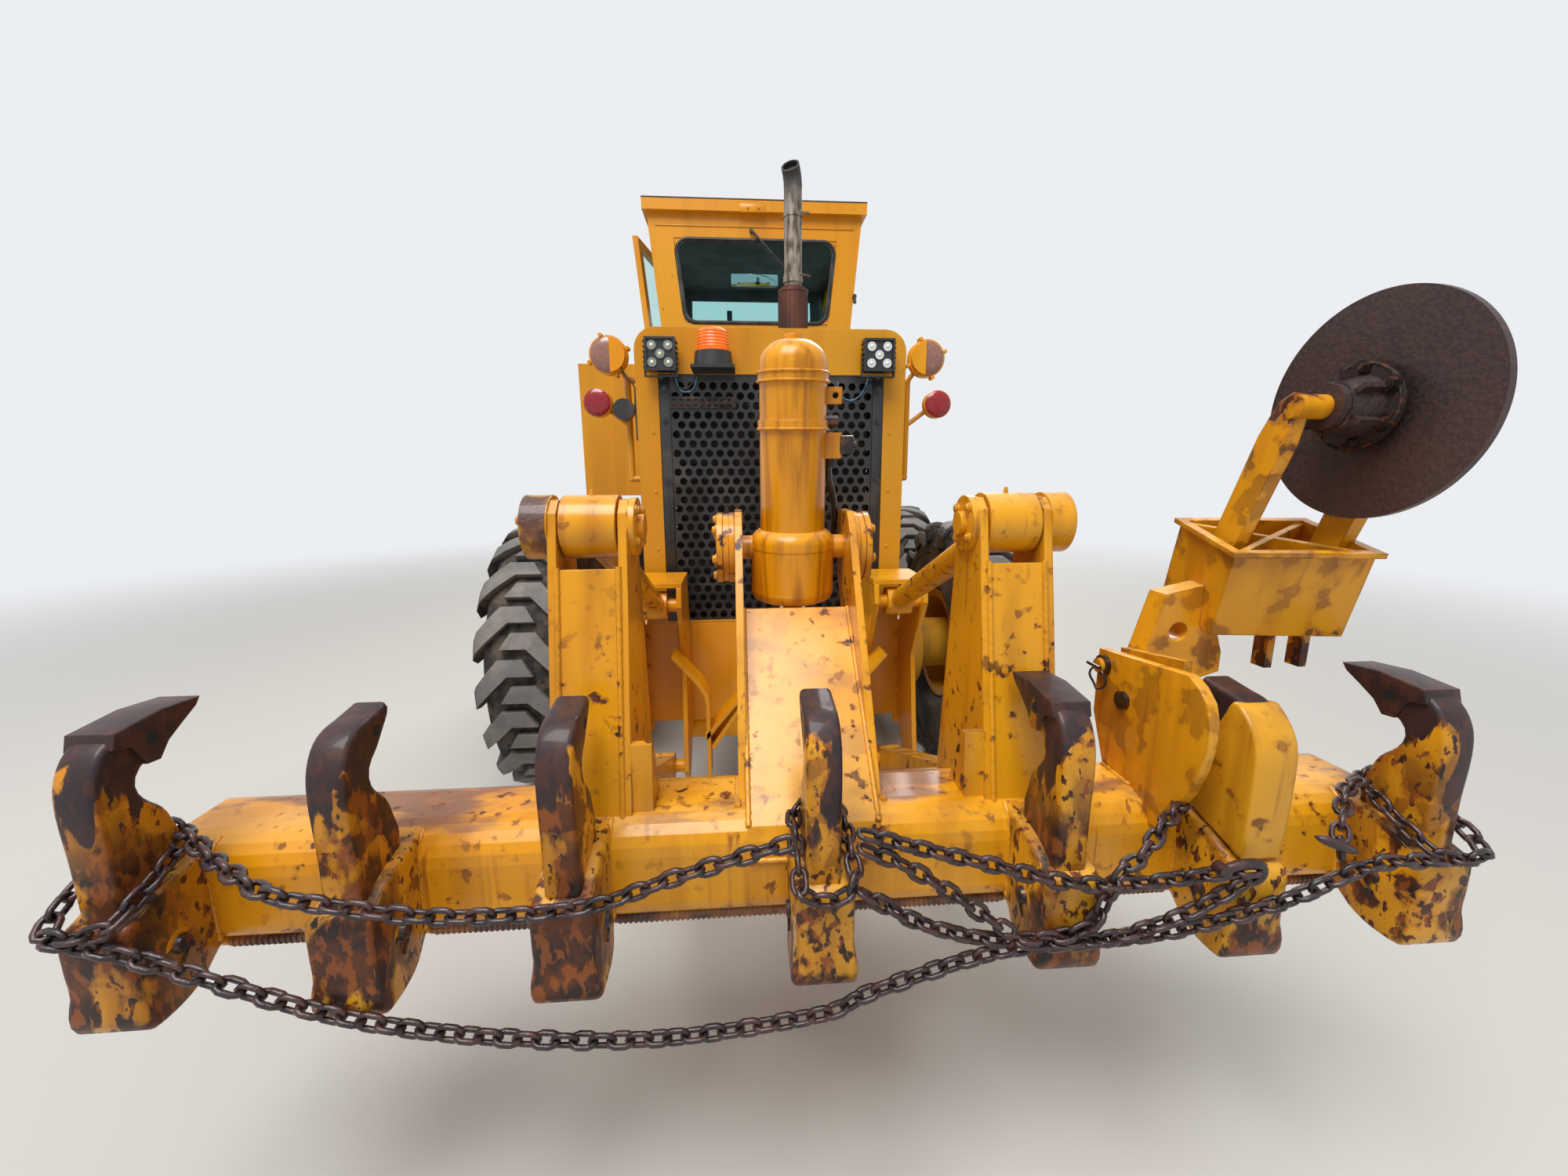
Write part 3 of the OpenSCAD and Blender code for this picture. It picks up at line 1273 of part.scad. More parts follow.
rear_frame();
engine();
hood();
grille();
exhaust();
rear_lamps();
grab_rails();
beacon();
work_lamps();
hydraulic_tank();
tandem_cases();
tyre(-1, rear_y);  // tyre_rear_left
tyre(1, rear_y);  // tyre_rear_right
tyre(-1, mid_y);  // tyre_mid_left
tyre(1, mid_y);  // tyre_mid_right
tyre(-1, front_y);  // tyre_front_left
tyre(1, front_y);  // tyre_front_right
rim(-1, rear_y);  // rim_rear_left
rim(1, rear_y);  // rim_rear_right
rim(-1, mid_y);  // rim_mid_left
rim(1, mid_y);  // rim_mid_right
rim(-1, front_y);  // rim_front_left
rim(1, front_y);  // rim_front_right
front_frame();
cab();
cab_glass();
roof_lamps();
seat();
console();
door(-1);  // door_left
door_glass(-1);  // door_left_glass
door(1);  // door_right
door_glass(1);  // door_right_glass
front_axle();
yoke(-1);  // yoke_left
yoke(1);  // yoke_right
lean_bar();
knuckle(-1);  // knuckle_left
knuckle(1);  // knuckle_right
tie_stud();
tie_rod();
drawbar();
turning_circle();  // circle
moldboard();
lift_barrel(-1);  // lift_barrel_left
lift_barrel(1);  // lift_barrel_right
lift_rod(-1);  // lift_rod_left
lift_rod(1);  // lift_rod_right
ripper_beam();
ripper_shanks();
upper_links();
lower_links();
ripper_barrel();
ripper_rod();
cutter_arm();
cutter_disc();
chains();
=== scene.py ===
"""An articulated motor grader with a rear ripper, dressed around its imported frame."""

import math

import bmesh
import bpy
from mathutils import Matrix, Vector


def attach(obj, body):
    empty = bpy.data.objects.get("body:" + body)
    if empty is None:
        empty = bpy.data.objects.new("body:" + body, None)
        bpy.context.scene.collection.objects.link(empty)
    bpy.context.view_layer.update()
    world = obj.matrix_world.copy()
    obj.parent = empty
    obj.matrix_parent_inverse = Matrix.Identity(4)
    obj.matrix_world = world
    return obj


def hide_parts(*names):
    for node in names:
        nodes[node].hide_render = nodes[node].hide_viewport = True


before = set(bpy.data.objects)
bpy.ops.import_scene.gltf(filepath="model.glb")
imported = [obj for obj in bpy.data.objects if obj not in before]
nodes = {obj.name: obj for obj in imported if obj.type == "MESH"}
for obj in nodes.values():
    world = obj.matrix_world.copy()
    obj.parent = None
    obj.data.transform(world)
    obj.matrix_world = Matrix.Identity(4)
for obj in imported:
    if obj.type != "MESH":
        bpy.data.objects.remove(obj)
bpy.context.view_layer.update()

# Camera
# The photograph was taken from standing height behind the machine with a very wide phone lens,
# a little left of its centre line and tilted down at the ripper.
PHOTO_FOCAL_PX = 756.0
PHOTO_WIDTH_PX = 2000.0
SENSOR_MM = 36.0
camera_place = Vector((-0.152, -6.226, 1.78))
camera_yaw = math.radians(4.27)
camera_pitch = math.radians(11.0)
camera_roll = math.radians(-0.23)

camera_data = bpy.data.cameras.new("rear_camera")
camera_data.sensor_width = SENSOR_MM
camera_data.lens = PHOTO_FOCAL_PX / PHOTO_WIDTH_PX * SENSOR_MM
camera_data.clip_end = 200.0
camera = bpy.data.objects.new("rear_camera", camera_data)
camera.matrix_world = (
    Matrix.Translation(camera_place)
    @ Matrix.Rotation(-camera_yaw, 4, "Z")
    @ Matrix.Rotation(math.pi / 2 - camera_pitch, 4, "X")
    @ Matrix.Rotation(camera_roll, 4, "Z")
)
bpy.context.collection.objects.link(camera)
bpy.context.scene.camera = camera
bpy.context.scene.view_settings.view_transform = "Standard"


# Studio
# A pale seamless floor that runs out into an overcast sky, as on the grey wet day of the
# photograph, with broad lamps high behind and before the machine for the wet paint to reflect.
def linear(hex_colour):
    """A #rrggbb colour as the linear red, green, blue and alpha that shaders take."""
    channels = [int(hex_colour[i : i + 2], 16) / 255 for i in (1, 3, 5)]
    return [c / 12.92 if c <= 0.04045 else ((c + 0.055) / 1.055) ** 2.4 for c in channels] + [1.0]


def add(tree, kind, inputs=None, **settings):
    """Adds a node with its settings, its input values and its links from other sockets."""
    node = tree.nodes.new(kind)
    for key, value in settings.items():
        setattr(node, key, value)
    for key, value in (inputs or {}).items():
        if isinstance(value, bpy.types.NodeSocket):
            tree.links.new(value, node.inputs[key])
        else:
            node.inputs[key].default_value = value
    return node


def new_material(name):
    """An empty material with its node tree and its places on the object."""
    material = bpy.data.materials.new(name)
    material.use_nodes = True
    tree = material.node_tree
    tree.nodes.clear()
    return material, tree, add(tree, "ShaderNodeTexCoord").outputs["Object"]


FLOOR_HALF = 60.0
FADE_FROM = 4.0
FADE_TO = 13.0
FLOOR_COLOUR = "#c6c3bd"
SKY_COLOUR = "#eceef1"
SKY_LIGHT = 0.37
LAMP_POWER = 1250.0
LAMP_SIDE = 6.0

floor_material, floor_tree, floor_place = new_material("pale_studio_floor")
floor_reach = add(floor_tree, "ShaderNodeVectorMath", {0: floor_place}, operation="LENGTH")
floor_fade = add(floor_tree, "ShaderNodeMapRange",
                 {"Value": floor_reach.outputs["Value"], "From Min": FADE_FROM, "From Max": FADE_TO},
                 interpolation_type="SMOOTHSTEP")
floor_near = add(floor_tree, "ShaderNodeBsdfPrincipled",
                 {"Base Color": linear(FLOOR_COLOUR), "Roughness": 0.8})
floor_far = add(floor_tree, "ShaderNodeEmission", {"Color": linear(SKY_COLOUR), "Strength": 1.0})
floor_mix = add(floor_tree, "ShaderNodeMixShader",
                {0: floor_fade.outputs[0], 1: floor_near.outputs[0], 2: floor_far.outputs[0]})
add(floor_tree, "ShaderNodeOutputMaterial", {"Surface": floor_mix.outputs[0]})

floor_mesh = bmesh.new()
bmesh.ops.create_grid(floor_mesh, x_segments=1, y_segments=1, size=FLOOR_HALF)
floor_data = bpy.data.meshes.new("studio_floor")
floor_mesh.to_mesh(floor_data)
floor_mesh.free()
floor_data.materials.append(floor_material)
floor = bpy.data.objects.new("studio_floor", floor_data)
bpy.context.collection.objects.link(floor)

world = bpy.data.worlds.new("overcast_sky")
world.use_nodes = True
bpy.context.scene.world = world
sky_tree = world.node_tree
sky_tree.nodes.clear()
sky_path = add(sky_tree, "ShaderNodeLightPath")
sky_seen = add(sky_tree, "ShaderNodeMath",
               {0: sky_path.outputs["Is Camera Ray"], 1: sky_path.outputs["Is Glossy Ray"]},
               operation="MAXIMUM")
sky_through = add(sky_tree, "ShaderNodeMath",
                  {0: sky_seen.outputs[0], 1: sky_path.outputs["Is Transmission Ray"]},
                  operation="MAXIMUM")
sky_light = add(sky_tree, "ShaderNodeBackground", {"Color": linear(SKY_COLOUR), "Strength": SKY_LIGHT})
sky_backdrop = add(sky_tree, "ShaderNodeBackground", {"Color": linear(SKY_COLOUR), "Strength": 1.0})
sky_mix = add(sky_tree, "ShaderNodeMixShader",
              {0: sky_through.outputs[0], 1: sky_light.outputs[0], 2: sky_backdrop.outputs[0]})
add(sky_tree, "ShaderNodeOutputWorld", {"Surface": sky_mix.outputs[0]})

# Soft lamps: name, place and aim
STUDIO_LAMPS = [
    ("overhead_softbox", (-2.0, -8.0, 10.5), (0.0, -3.5, 1.0)),
    ("front_softbox", (3.5, 9.0, 10.5), (0.0, 2.0, 1.0)),
]
for lamp_name, place, aim in STUDIO_LAMPS:
    lamp_data = bpy.data.lights.new(lamp_name, "AREA")
    lamp_data.energy = LAMP_POWER
    lamp_data.size = LAMP_SIDE
    lamp = bpy.data.objects.new(lamp_name, lamp_data)
    direction = Vector(aim) - Vector(place)
    lamp.matrix_world = (
        Matrix.Translation(Vector(place)) @ direction.to_track_quat("-Z", "Y").to_matrix().to_4x4()
    )
    bpy.context.collection.objects.link(lamp)


# Yellow paint
# Welded steel plate under thick, much repainted ochre-yellow machine enamel, wet with rain.
# It gives the eye a warm gloss with soft reflections, faint vertical runs, and dark chips; where it is
# wettest, level faces are paled by a painted sheen.
MM = 0.001
PAINT_YELLOW = "#dc8f0a"
PAINT_FADED = "#e19c16"
PAINT_SHADE = "#a9660c"
RUST_DARK = "#2b1a16"
RUST_MID = "#5c3016"
RUST_BRIGHT = "#96501a"
SCUFF = "#6b4440"


def patches(tree, where, size_mm, low, high, detail=4.0, stretch=(1.0, 1.0, 1.0), shift=(0, 0, 0)):
    """A mask from 0 to 1 of wear, dirt or a painted sheen, whose patches are about size_mm across."""
    mapped = add(tree, "ShaderNodeMapping", {"Vector": where, "Location": shift, "Scale": stretch})
    noise = add(tree, "ShaderNodeTexNoise",
                {"Vector": mapped.outputs[0], "Scale": 0.5 / (size_mm * MM), "Detail": detail})
    ramp = add(tree, "ShaderNodeMapRange",
               {"Value": noise.outputs["Fac"], "From Min": low, "From Max": high},
               interpolation_type="SMOOTHSTEP")
    return ramp.outputs["Result"]


def laid_over(tree, under, over, mask, share=1.0):
    """One finish over another where a mask says, at a share of its strength."""
    strength = add(tree, "ShaderNodeMath", {0: mask, 1: share}, operation="MULTIPLY", use_clamp=True)
    layers = add(tree, "ShaderNodeMix", {0: strength.outputs[0], 6: under, 7: over}, data_type="RGBA")
    return layers.outputs[2]


def surface(material, tree, colour, roughness, relief, depth_mm, rounded=None, **shine):
    """Ends a material: its relief as a bump of depth_mm, its shader and its output."""
    shape = {"Height": relief, "Strength": 0.6, "Distance": depth_mm * MM}
    if rounded is not None:
        shape["Normal"] = rounded
    bump = add(tree, "ShaderNodeBump", shape)
    sockets = {"Base Color": colour, "Roughness": roughness, "Normal": bump.outputs[0]}
    for name, value in shine.items():
        sockets[name.replace("_", " ").title().replace("Ior", "IOR")] = value
    shader = add(tree, "ShaderNodeBsdfPrincipled", sockets)
    add(tree, "ShaderNodeOutputMaterial", {"Surface": shader.outputs[0]})
    return material


def rust_colour(tree, where, size_mm):
    """Layered browns of old wet rust."""
    blotch = patches(tree, where, size_mm, 0.4, 0.6, 8.0, shift=(3.1, 1.7, 9.2))
    speck = patches(tree, where, size_mm * 0.3, 0.5, 0.58, 8.0, stretch=(1.0, 1.0, 0.5),
                    shift=(7.7, 2.2, 0.4))
    base = laid_over(tree, linear(RUST_DARK), linear(RUST_MID), blotch)
    return laid_over(tree, base, linear(RUST_BRIGHT), speck, 0.7)


def painted_steel(name, chipped=0.1, chip_mm=45.0, edge_wear=0.5, runs=0.35, wet=0.6, worn=0.0,
                  colours=(PAINT_YELLOW, PAINT_FADED, PAINT_SHADE), lumpy=0.5, edge_mm=5.0,
                  scuffed=0.0, stained=0.0, bare_above=None, heavy=None, run_mm=45.0):
    """Yellow enamel over steel, with chips, worn edges, runs, rain and scuffs, each from 0 to 1. A rain
    setting above 0.6 also pales the level faces with a painted sheen.
    heavy is an axis and the places along it between which most of the paint goes."""
    material, tree, where = new_material(name)
    # Paint, faded in broad patches and streaked by rain
    fade = patches(tree, where, 700, 0.35, 0.65, 3.0)
    streak = patches(tree, where, run_mm, 0.44, 0.72, 3.0, stretch=(1.0, 1.0, 0.07))
    paint = laid_over(tree, linear(colours[0]), linear(colours[1]), fade)
    paint = laid_over(tree, paint, linear(colours[2]), streak, runs)
    facing = add(tree, "ShaderNodeNewGeometry").outputs["Normal"]
    upwards = add(tree, "ShaderNodeSeparateXYZ", {0: facing}).outputs["Z"]
    if wet > 0.6:
        # Level faces are paled in patches, a painted reflection of the sky in the rain lying on them
        film_and_sheen = patches(tree, where, 210, 0.4, 0.6, 5.0, shift=(0.3, 3.0, 6.0))
        level = add(tree, "ShaderNodeMapRange", {"Value": upwards, "From Min": 0.45, "From Max": 0.9})
        painted_sheen = add(tree, "ShaderNodeMath", {0: film_and_sheen, 1: level.outputs[0]}, operation="MULTIPLY")
        paint = laid_over(tree, paint, linear("#f0c070"), painted_sheen.outputs[0], 0.3)
    if stained:
        # Thin brown runs below the seams, where rain carries rust down
        trickle = patches(tree, where, 14, 0.6, 0.74, 2.0, stretch=(1.0, 1.0, 0.035), shift=(2.0, 9.0, 4.0))
        stain = patches(tree, where, 260, 0.42, 0.66, 3.0, shift=(5.5, 0.4, 7.1))
        both = add(tree, "ShaderNodeMath", {0: trickle, 1: stain}, operation="MULTIPLY")
        paint = laid_over(tree, paint, linear("#8a4a1c"), both.outputs[0], stained)
    # Chips gather in patches and along edges
    patch = patches(tree, where, chip_mm * 9, 0.4, 0.66, 3.0, shift=(11.0, 5.0, 2.0))
    patch = add(tree, "ShaderNodeMath", {0: patch, 1: worn}, operation="ADD", use_clamp=True)
    threshold = 0.73 - 0.22 * chipped
    spots = patches(tree, where, chip_mm, threshold, threshold + 0.02, 9.0, shift=(1.3, 8.1, 4.4))
    chips = add(tree, "ShaderNodeMath", {0: spots, 1: patch.outputs[0]}, operation="MULTIPLY")
    rounded = add(tree, "ShaderNodeBevel", {"Radius": edge_mm * MM}, samples=4).outputs[0]
    alike = add(tree, "ShaderNodeVectorMath", {0: rounded, 1: facing}, operation="DOT_PRODUCT")
    edge = add(tree, "ShaderNodeMapRange",
               {"Value": alike.outputs["Value"], "From Min": 0.985, "From Max": 0.86})
    broken = patches(tree, where, 55, 0.5, 0.6, 6.0, shift=(0.7, 6.3, 3.3))
    rubbed = add(tree, "ShaderNodeMath", {0: edge.outputs["Result"], 1: broken}, operation="MULTIPLY")
    rubbed = add(tree, "ShaderNodeMath", {0: rubbed.outputs[0], 1: edge_wear}, operation="MULTIPLY")
    losses = [chips.outputs[0], rubbed.outputs[0]]
    if heavy:
        # Near the ground and under the chains most of the paint has gone
        along = add(tree, "ShaderNodeSeparateXYZ", {0: where}).outputs[heavy[0]]
        zone = add(tree, "ShaderNodeMapRange",
                   {"Value": along, "From Min": heavy[1], "From Max": heavy[2]})
        pitted = patches(tree, where, 9, 0.56, 0.6, 6.0, stretch=(1.0, 1.0, 0.6), shift=(2.0, 5.0, 3.0))
        spread = patches(tree, where, 60, 0.45, 0.5, 12.0, stretch=(1.0, 1.0, 0.5), shift=(6.0, 1.0, 8.0))
        gone = add(tree, "ShaderNodeMath", {0: spread, 1: zone.outputs["Result"]}, operation="MULTIPLY")
        losses += [pitted, gone.outputs[0]]
    if scuffed:
        # Chains and boots have scraped the tops down to the primer
        scrape = patches(tree, where, 70, 0.5, 0.6, 7.0, stretch=(0.35, 1.0, 1.0), shift=(4.0, 4.0, 1.0))
        level = add(tree, "ShaderNodeMapRange", {"Value": upwards, "From Min": 0.6, "From Max": 0.95})
        top = add(tree, "ShaderNodeMath", {0: scrape, 1: level.outputs[0]}, operation="MULTIPLY")
        paint = laid_over(tree, paint, linear(SCUFF), top.outputs[0], scuffed)
    # Rust bleeds a little way out of each chip
    halo = patches(tree, where, chip_mm, threshold - 0.05, threshold, 9.0, shift=(1.3, 8.1, 4.4))
    halo = add(tree, "ShaderNodeMath", {0: halo, 1: patch.outputs[0]}, operation="MULTIPLY")
    paint = laid_over(tree, paint, linear(RUST_BRIGHT), halo.outputs[0], 0.55)
    if bare_above is not None:
        # Polished by the ground and rusted again, above a ragged line
        height = add(tree, "ShaderNodeSeparateXYZ", {0: where}).outputs["Z"]
        ragged = patches(tree, where, 45, 0.25, 0.75, 10.0, stretch=(1.0, 1.0, 0.3))
        wavy = add(tree, "ShaderNodeMath", {0: ragged, 1: 0.26, 2: height}, operation="MULTIPLY_ADD")
        upper = add(tree, "ShaderNodeMapRange", {
            "Value": wavy.outputs[0], "From Min": bare_above + 0.12, "From Max": bare_above + 0.135})
        losses.append(upper.outputs[0])
    bare = losses[0]
    for loss in losses[1:]:
        bare = add(tree, "ShaderNodeMath", {0: bare, 1: loss}, operation="MAXIMUM").outputs[0]
    colour = laid_over(tree, paint, rust_colour(tree, where, chip_mm), bare)
    if bare_above is not None:
        # The ground keeps the noses smooth and nearly black
        colour = laid_over(tree, colour, linear("#2c2024"), upper.outputs[0], 0.85)
    rough = add(tree, "ShaderNodeMapRange", {"Value": bare, "To Min": 0.3, "To Max": 0.52})
    # Thick brushed coats make the surface slightly lumpy, and a chip lies below the paint
    ripple = patches(tree, where, 26, 0.3, 0.7, 2.0, stretch=(1.0, 1.0, 0.35))
    coat = add(tree, "ShaderNodeMath", {0: ripple, 1: 0.35 * lumpy, 2: 0.5}, operation="MULTIPLY_ADD")
    relief = add(tree, "ShaderNodeMath", {0: coat.outputs[0], 1: bare}, operation="SUBTRACT")
    return surface(material, tree, colour, rough.outputs["Result"], relief.outputs[0], 1.6, rounded,
                   coat_weight=wet * 0.25, coat_roughness=0.12, ior=1.5, specular_ior_level=0.3)


def finish_nodes(material, *names):
    """Gives CAD nodes their material."""
    for name in names:
        nodes[name].data.materials.clear()
        nodes[name].data.materials.append(material)


# Piece making
# Trim pieces are turned bars, cut blocks and swept rods of steel, as in a weld shop.
def block(shape, low, high, turn=None, bevel=0.0):
    """A cut block between two corners, with its edges broken."""
    low, high = Vector(low), Vector(high)
    place = Matrix.Translation((low + high) / 2)
    if turn is not None:
        place = place @ turn
    size = high - low
    made = bmesh.ops.create_cube(shape, size=1.0, matrix=place @ Matrix.Diagonal((*size, 1.0)))
    if bevel:
        edges = list({edge for vert in made["verts"] for edge in vert.link_edges})
        bmesh.ops.bevel(shape, geom=edges, offset=bevel, segments=2, affect="EDGES", profile=0.5,
                        material=-1)


def bar(shape, start, end, radius, sides=16, end_radius=None):
    """A turned bar between two places, tapered where its end radius differs."""
    start, end = Vector(start), Vector(end)
    run = end - start
    place = Matrix.Translation((start + end) / 2) @ run.to_track_quat("Z", "Y").to_matrix().to_4x4()
    bmesh.ops.create_cone(shape, cap_ends=True, segments=sides, radius1=radius,
                          radius2=radius if end_radius is None else end_radius,
                          depth=run.length, matrix=place)


def swept(shape, path, radius, sides=8, closed=False, flat=1.0):
    """A rod that follows a path; radius may be a list along it, and flat squashes it sideways."""
    path = [Vector(p) for p in path]
    count = len(path)
    rings = []
    up = Vector((0.123, 0.456, 0.881))
    for i in range(count):
        ahead = path[(i + 1) % count] if closed or i < count - 1 else path[i]
        behind = path[i - 1] if closed or i else path[i]
        along = (ahead - behind).normalized()
        up = (up - along * up.dot(along)).normalized()
        side = along.cross(up)
        r = radius[i] if isinstance(radius, (list, tuple)) else radius
        rings.append([
            path[i] + (up * math.cos(2 * math.pi * k / sides) * flat
                       + side * math.sin(2 * math.pi * k / sides)) * r
            for k in range(sides)
        ])
    first = bmesh.ops.create_circle(shape, cap_ends=False, segments=sides, radius=1.0)["verts"]
    ring = [first[0]]
    while len(ring) < sides:
        around = [edge.other_vert(ring[-1]) for edge in ring[-1].link_edges]
        ring.append(next(vert for vert in around if vert not in ring))
    for vert, place in zip(ring, rings[0]):
        vert.co = place
    edges = [shape.edges.get((ring[k], ring[(k + 1) % sides])) for k in range(sides)]
    start_edges = edges
    for places in rings[1:]:
        made = bmesh.ops.extrude_edge_only(shape, edges=edges)["geom"]
        new = [part for part in made if isinstance(part, bmesh.types.BMVert)]
        follow = {vert: next(e.other_vert(vert) for e in vert.link_edges
                             if e.other_vert(vert) in new) for vert in ring}
        ring = [follow[vert] for vert in ring]
        for vert, place in zip(ring, places):
            vert.co = place
        edges = [shape.edges.get((ring[k], ring[(k + 1) % sides])) for k in range(sides)]
    if closed:
        bmesh.ops.bridge_loops(shape, edges=start_edges + edges)
    else:
        bmesh.ops.contextual_create(shape, geom=start_edges)
        bmesh.ops.contextual_create(shape, geom=edges)


def bolt(shape, place, way, across=0.03, washer=True):
    """A hexagon bolt head on its washer, standing on a face that looks along way."""
    place, way = Vector(place), Vector(way).normalized()
    if washer:
        bar(shape, place - way * 0.001, place + way * 0.004, across * 0.78, 18)
    bar(shape, place, place + way * across * 0.55, across * 0.577, 6)
    bar(shape, place, place + way * across * 0.62, across * 0.4, 12, across * 0.34)


def finished(name, shape, materials, body, smooth_deg=35.0):
    """A piece from its mesh, with its material, riding on a body."""
    bmesh.ops.recalc_face_normals(shape, faces=shape.faces)
    data = bpy.data.meshes.new(name)
    shape.to_mesh(data)
    shape.free()
    for material in materials if isinstance(materials, (list, tuple)) else [materials]:
        data.materials.append(material)
    data.shade_smooth()
    data.set_sharp_from_angle(angle=math.radians(smooth_deg))
    piece = bpy.data.objects.new(name, data)
    bpy.context.collection.objects.link(piece)
    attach(piece, body)
    return piece


# Rear frame
# Two deep rails and the ripper's eye plates, flame cut and welded up, then brush painted.
frame_paint = painted_steel("frame_enamel", chipped=0.15, chip_mm=30, edge_wear=0.4, runs=0.4,
                            wet=0.5, stained=0.5)
finish_nodes(frame_paint, "rear_frame", "front_frame", "front_axle", "yoke_left", "yoke_right",
             "lean_bar", "knuckle_left", "knuckle_right", "tie_rod", "drawbar", "circle")


def finish(name, colours, patch, roughness, grain_mm, depth_mm, **shine):
    """One colour, or two in patches given as millimetres, low and high, over a fine grain."""
    material, tree, where = new_material(name)
    colour = linear(colours[0])
    if patch:
        colour = laid_over(tree, colour, linear(colours[1]), patches(tree, where, *patch))
    grain = patches(tree, where, grain_mm, 0.3, 0.7)
    return surface(material, tree, colour, roughness, grain, depth_mm, **shine)


dark_steel = finish("oiled_dark_steel", ("#211a17", "#5a3322"), (9, 0.5, 0.62), 0.42, 3, 0.5,
                    metallic=0.35, coat_weight=0.3)

HOOD_BACK = -3.5795
frame_bolts = bmesh.new()
for side in (-1, 1):
    for z in (0.62, 0.76, 0.9, 1.04):
        for x in (0.403, 0.585):
            bolt(frame_bolts, (side * x, HOOD_BACK, z), (0, -1, 0), 0.03)
    # Bent guard straps beside the hoses, braced to the middle
    for places in ([(0.437, 1.05), (0.335, 0.93), (0.308, 0.885), (0.302, 0.85), (0.302, 0.53)],
                   [(0.3, 0.694), (0.15, 0.872), (0.15, 0.858), (0.285, 0.66)]):
        line = [frame_bolts.verts.new((side * x, -3.915, z)) for x, z in places]
        edges = [frame_bolts.edges.new(pair) for pair in zip(line, line[1:])]
        made = bmesh.ops.extrude_edge_only(frame_bolts, edges=edges)["geom"]
        bmesh.ops.translate(frame_bolts, vec=(0, 0.12, 0),
                            verts=[part for part in made if isinstance(part, bmesh.types.BMVert)])
        bmesh.ops.solidify(frame_bolts, thickness=0.016,
                           geom=[part for part in made if isinstance(part, bmesh.types.BMFace)])
# Guard plate that closes the belly between the rails
block(frame_bolts, (-0.398, -3.575, 0.55), (0.398, -3.56, 0.66), bevel=0.003)
finished("frame_bolts", frame_bolts, frame_paint, "rear_frame")


# Engine
# A cast block behind the grille, nearly black under oil and soot.
engine_metal = finish("sooty_cast_iron", ("#1d1d1b", "#3b3631"), (60, 0.4, 0.65), 0.7, 4, 1.0,
                      metallic=0.2)
finish_nodes(engine_metal, "engine")


# Hood
# Folded sheet steel with a broad rolled rear edge, painted the same ochre and kept smoother
# than the welded parts; small rivets dot its rear edge.
hood_paint = painted_steel("hood_enamel", chipped=0.04, chip_mm=22, edge_wear=0.15, runs=0.25,
                           wet=0.45, lumpy=0.3, stained=0.25, edge_mm=3.0,
                           colours=("#cc860c", "#d0911c", "#9c5f0c"))
finish_nodes(hood_paint, "hood", "cab", "door_left", "door_right", "hydraulic_tank", "grab_rails")
hood_trim = bmesh.new()
for side in (-1, 1):
    rivet_x, hinge_x, latch_x = side * 0.512, side * 0.578, side * 0.586
    for z in (1.2, 1.45, 1.7, 1.95, 2.2):
        bar(hood_trim, (rivet_x, HOOD_BACK + 0.002, z), (rivet_x, HOOD_BACK - 0.003, z), 0.009, 12, 0.006)
    # Hinges and latches of the side doors
    for y in (-3.3, -2.82, -2.34):
        bar(hood_trim, (hinge_x, y - 0.05, 1.34), (hinge_x, y + 0.05, 1.34), 0.011, 12)
        block(hood_trim, (latch_x - 0.008, y + 0.1, 1.995), (latch_x + 0.008, y + 0.16, 2.025), bevel=0.003)
# Lifting eye at the front right of the roof
swept(hood_trim, [(0.45, y, z) for y, z in (
    (-3.1, 2.372), (-3.095, 2.4), (-3.07, 2.418), (-3.045, 2.4), (-3.04, 2.372))], 0.009, 8)
finished("hood_trim", hood_trim, hood_paint, "rear_frame")


# Grille
# Black enamelled plate punched with a close pattern of round holes, dusty brown in patches.
black_enamel = finish("black_enamel_dusty", ("#17181a", "#3c3530"), (70, 0.5, 0.72), 0.42, 5, 0.4,
                      coat_weight=0.3)
finish_nodes(black_enamel, "grille", "work_lamps", "roof_lamps", "console")
grille_trim = bmesh.new()
for side in (-1, 1):
    x = side * 0.458
    block(grille_trim, (x - 0.022, HOOD_BACK + 0.001, 1.13), (x + 0.022, HOOD_BACK + 0.0075, 2.18),
          bevel=0.002)
    for z in (1.25, 1.5, 1.75, 2.0, 2.13):
        bolt(grille_trim, (x, HOOD_BACK + 0.001, z), (0, -1, 0), 0.018)
# The radiator's dark core behind it
core = bmesh.new()
block(core, (-0.43, HOOD_BACK + 0.075, 1.135), (0.43, HOOD_BACK + 0.095, 2.16))
for k in range(42):
    low = 1.15 + 0.024 * k
    block(core, (-0.42, HOOD_BACK + 0.067, low), (0.42, HOOD_BACK + 0.0755, low + 0.004))
finished("radiator_core", core, engine_metal, "rear_frame")
# The punched strap across it
punched_strap = bmesh.new()
block(punched_strap, (-0.436, HOOD_BACK - 0.003, 2.05), (-0.155, HOOD_BACK + 0.001, 2.098), bevel=0.001)
finished("punched_strap", punched_strap, dark_steel, "rear_frame")
# Near-black blocks in the strap's slots, painted shade for the depth of the punched slots
strap_slot_shadows = bmesh.new()
for row in (2.062, 2.086):
    for k in range(9):
        x = -0.425 + 0.029 * k
        block(strap_slot_shadows, (x, HOOD_BACK - 0.0036, row - 0.004), (x + 0.016, HOOD_BACK + 0.003, row + 0.004))
finished("grille_frame_strips", grille_trim, black_enamel, "rear_frame")
# Near-black material for the painted shade in slots and holes
hole_shadow_black = finish("punched_slot_shadow", ("#050505",), None, 0.8, 4, 0.2)
finished("strap_slot_shadows", strap_slot_shadows, hole_shadow_black, "rear_frame")


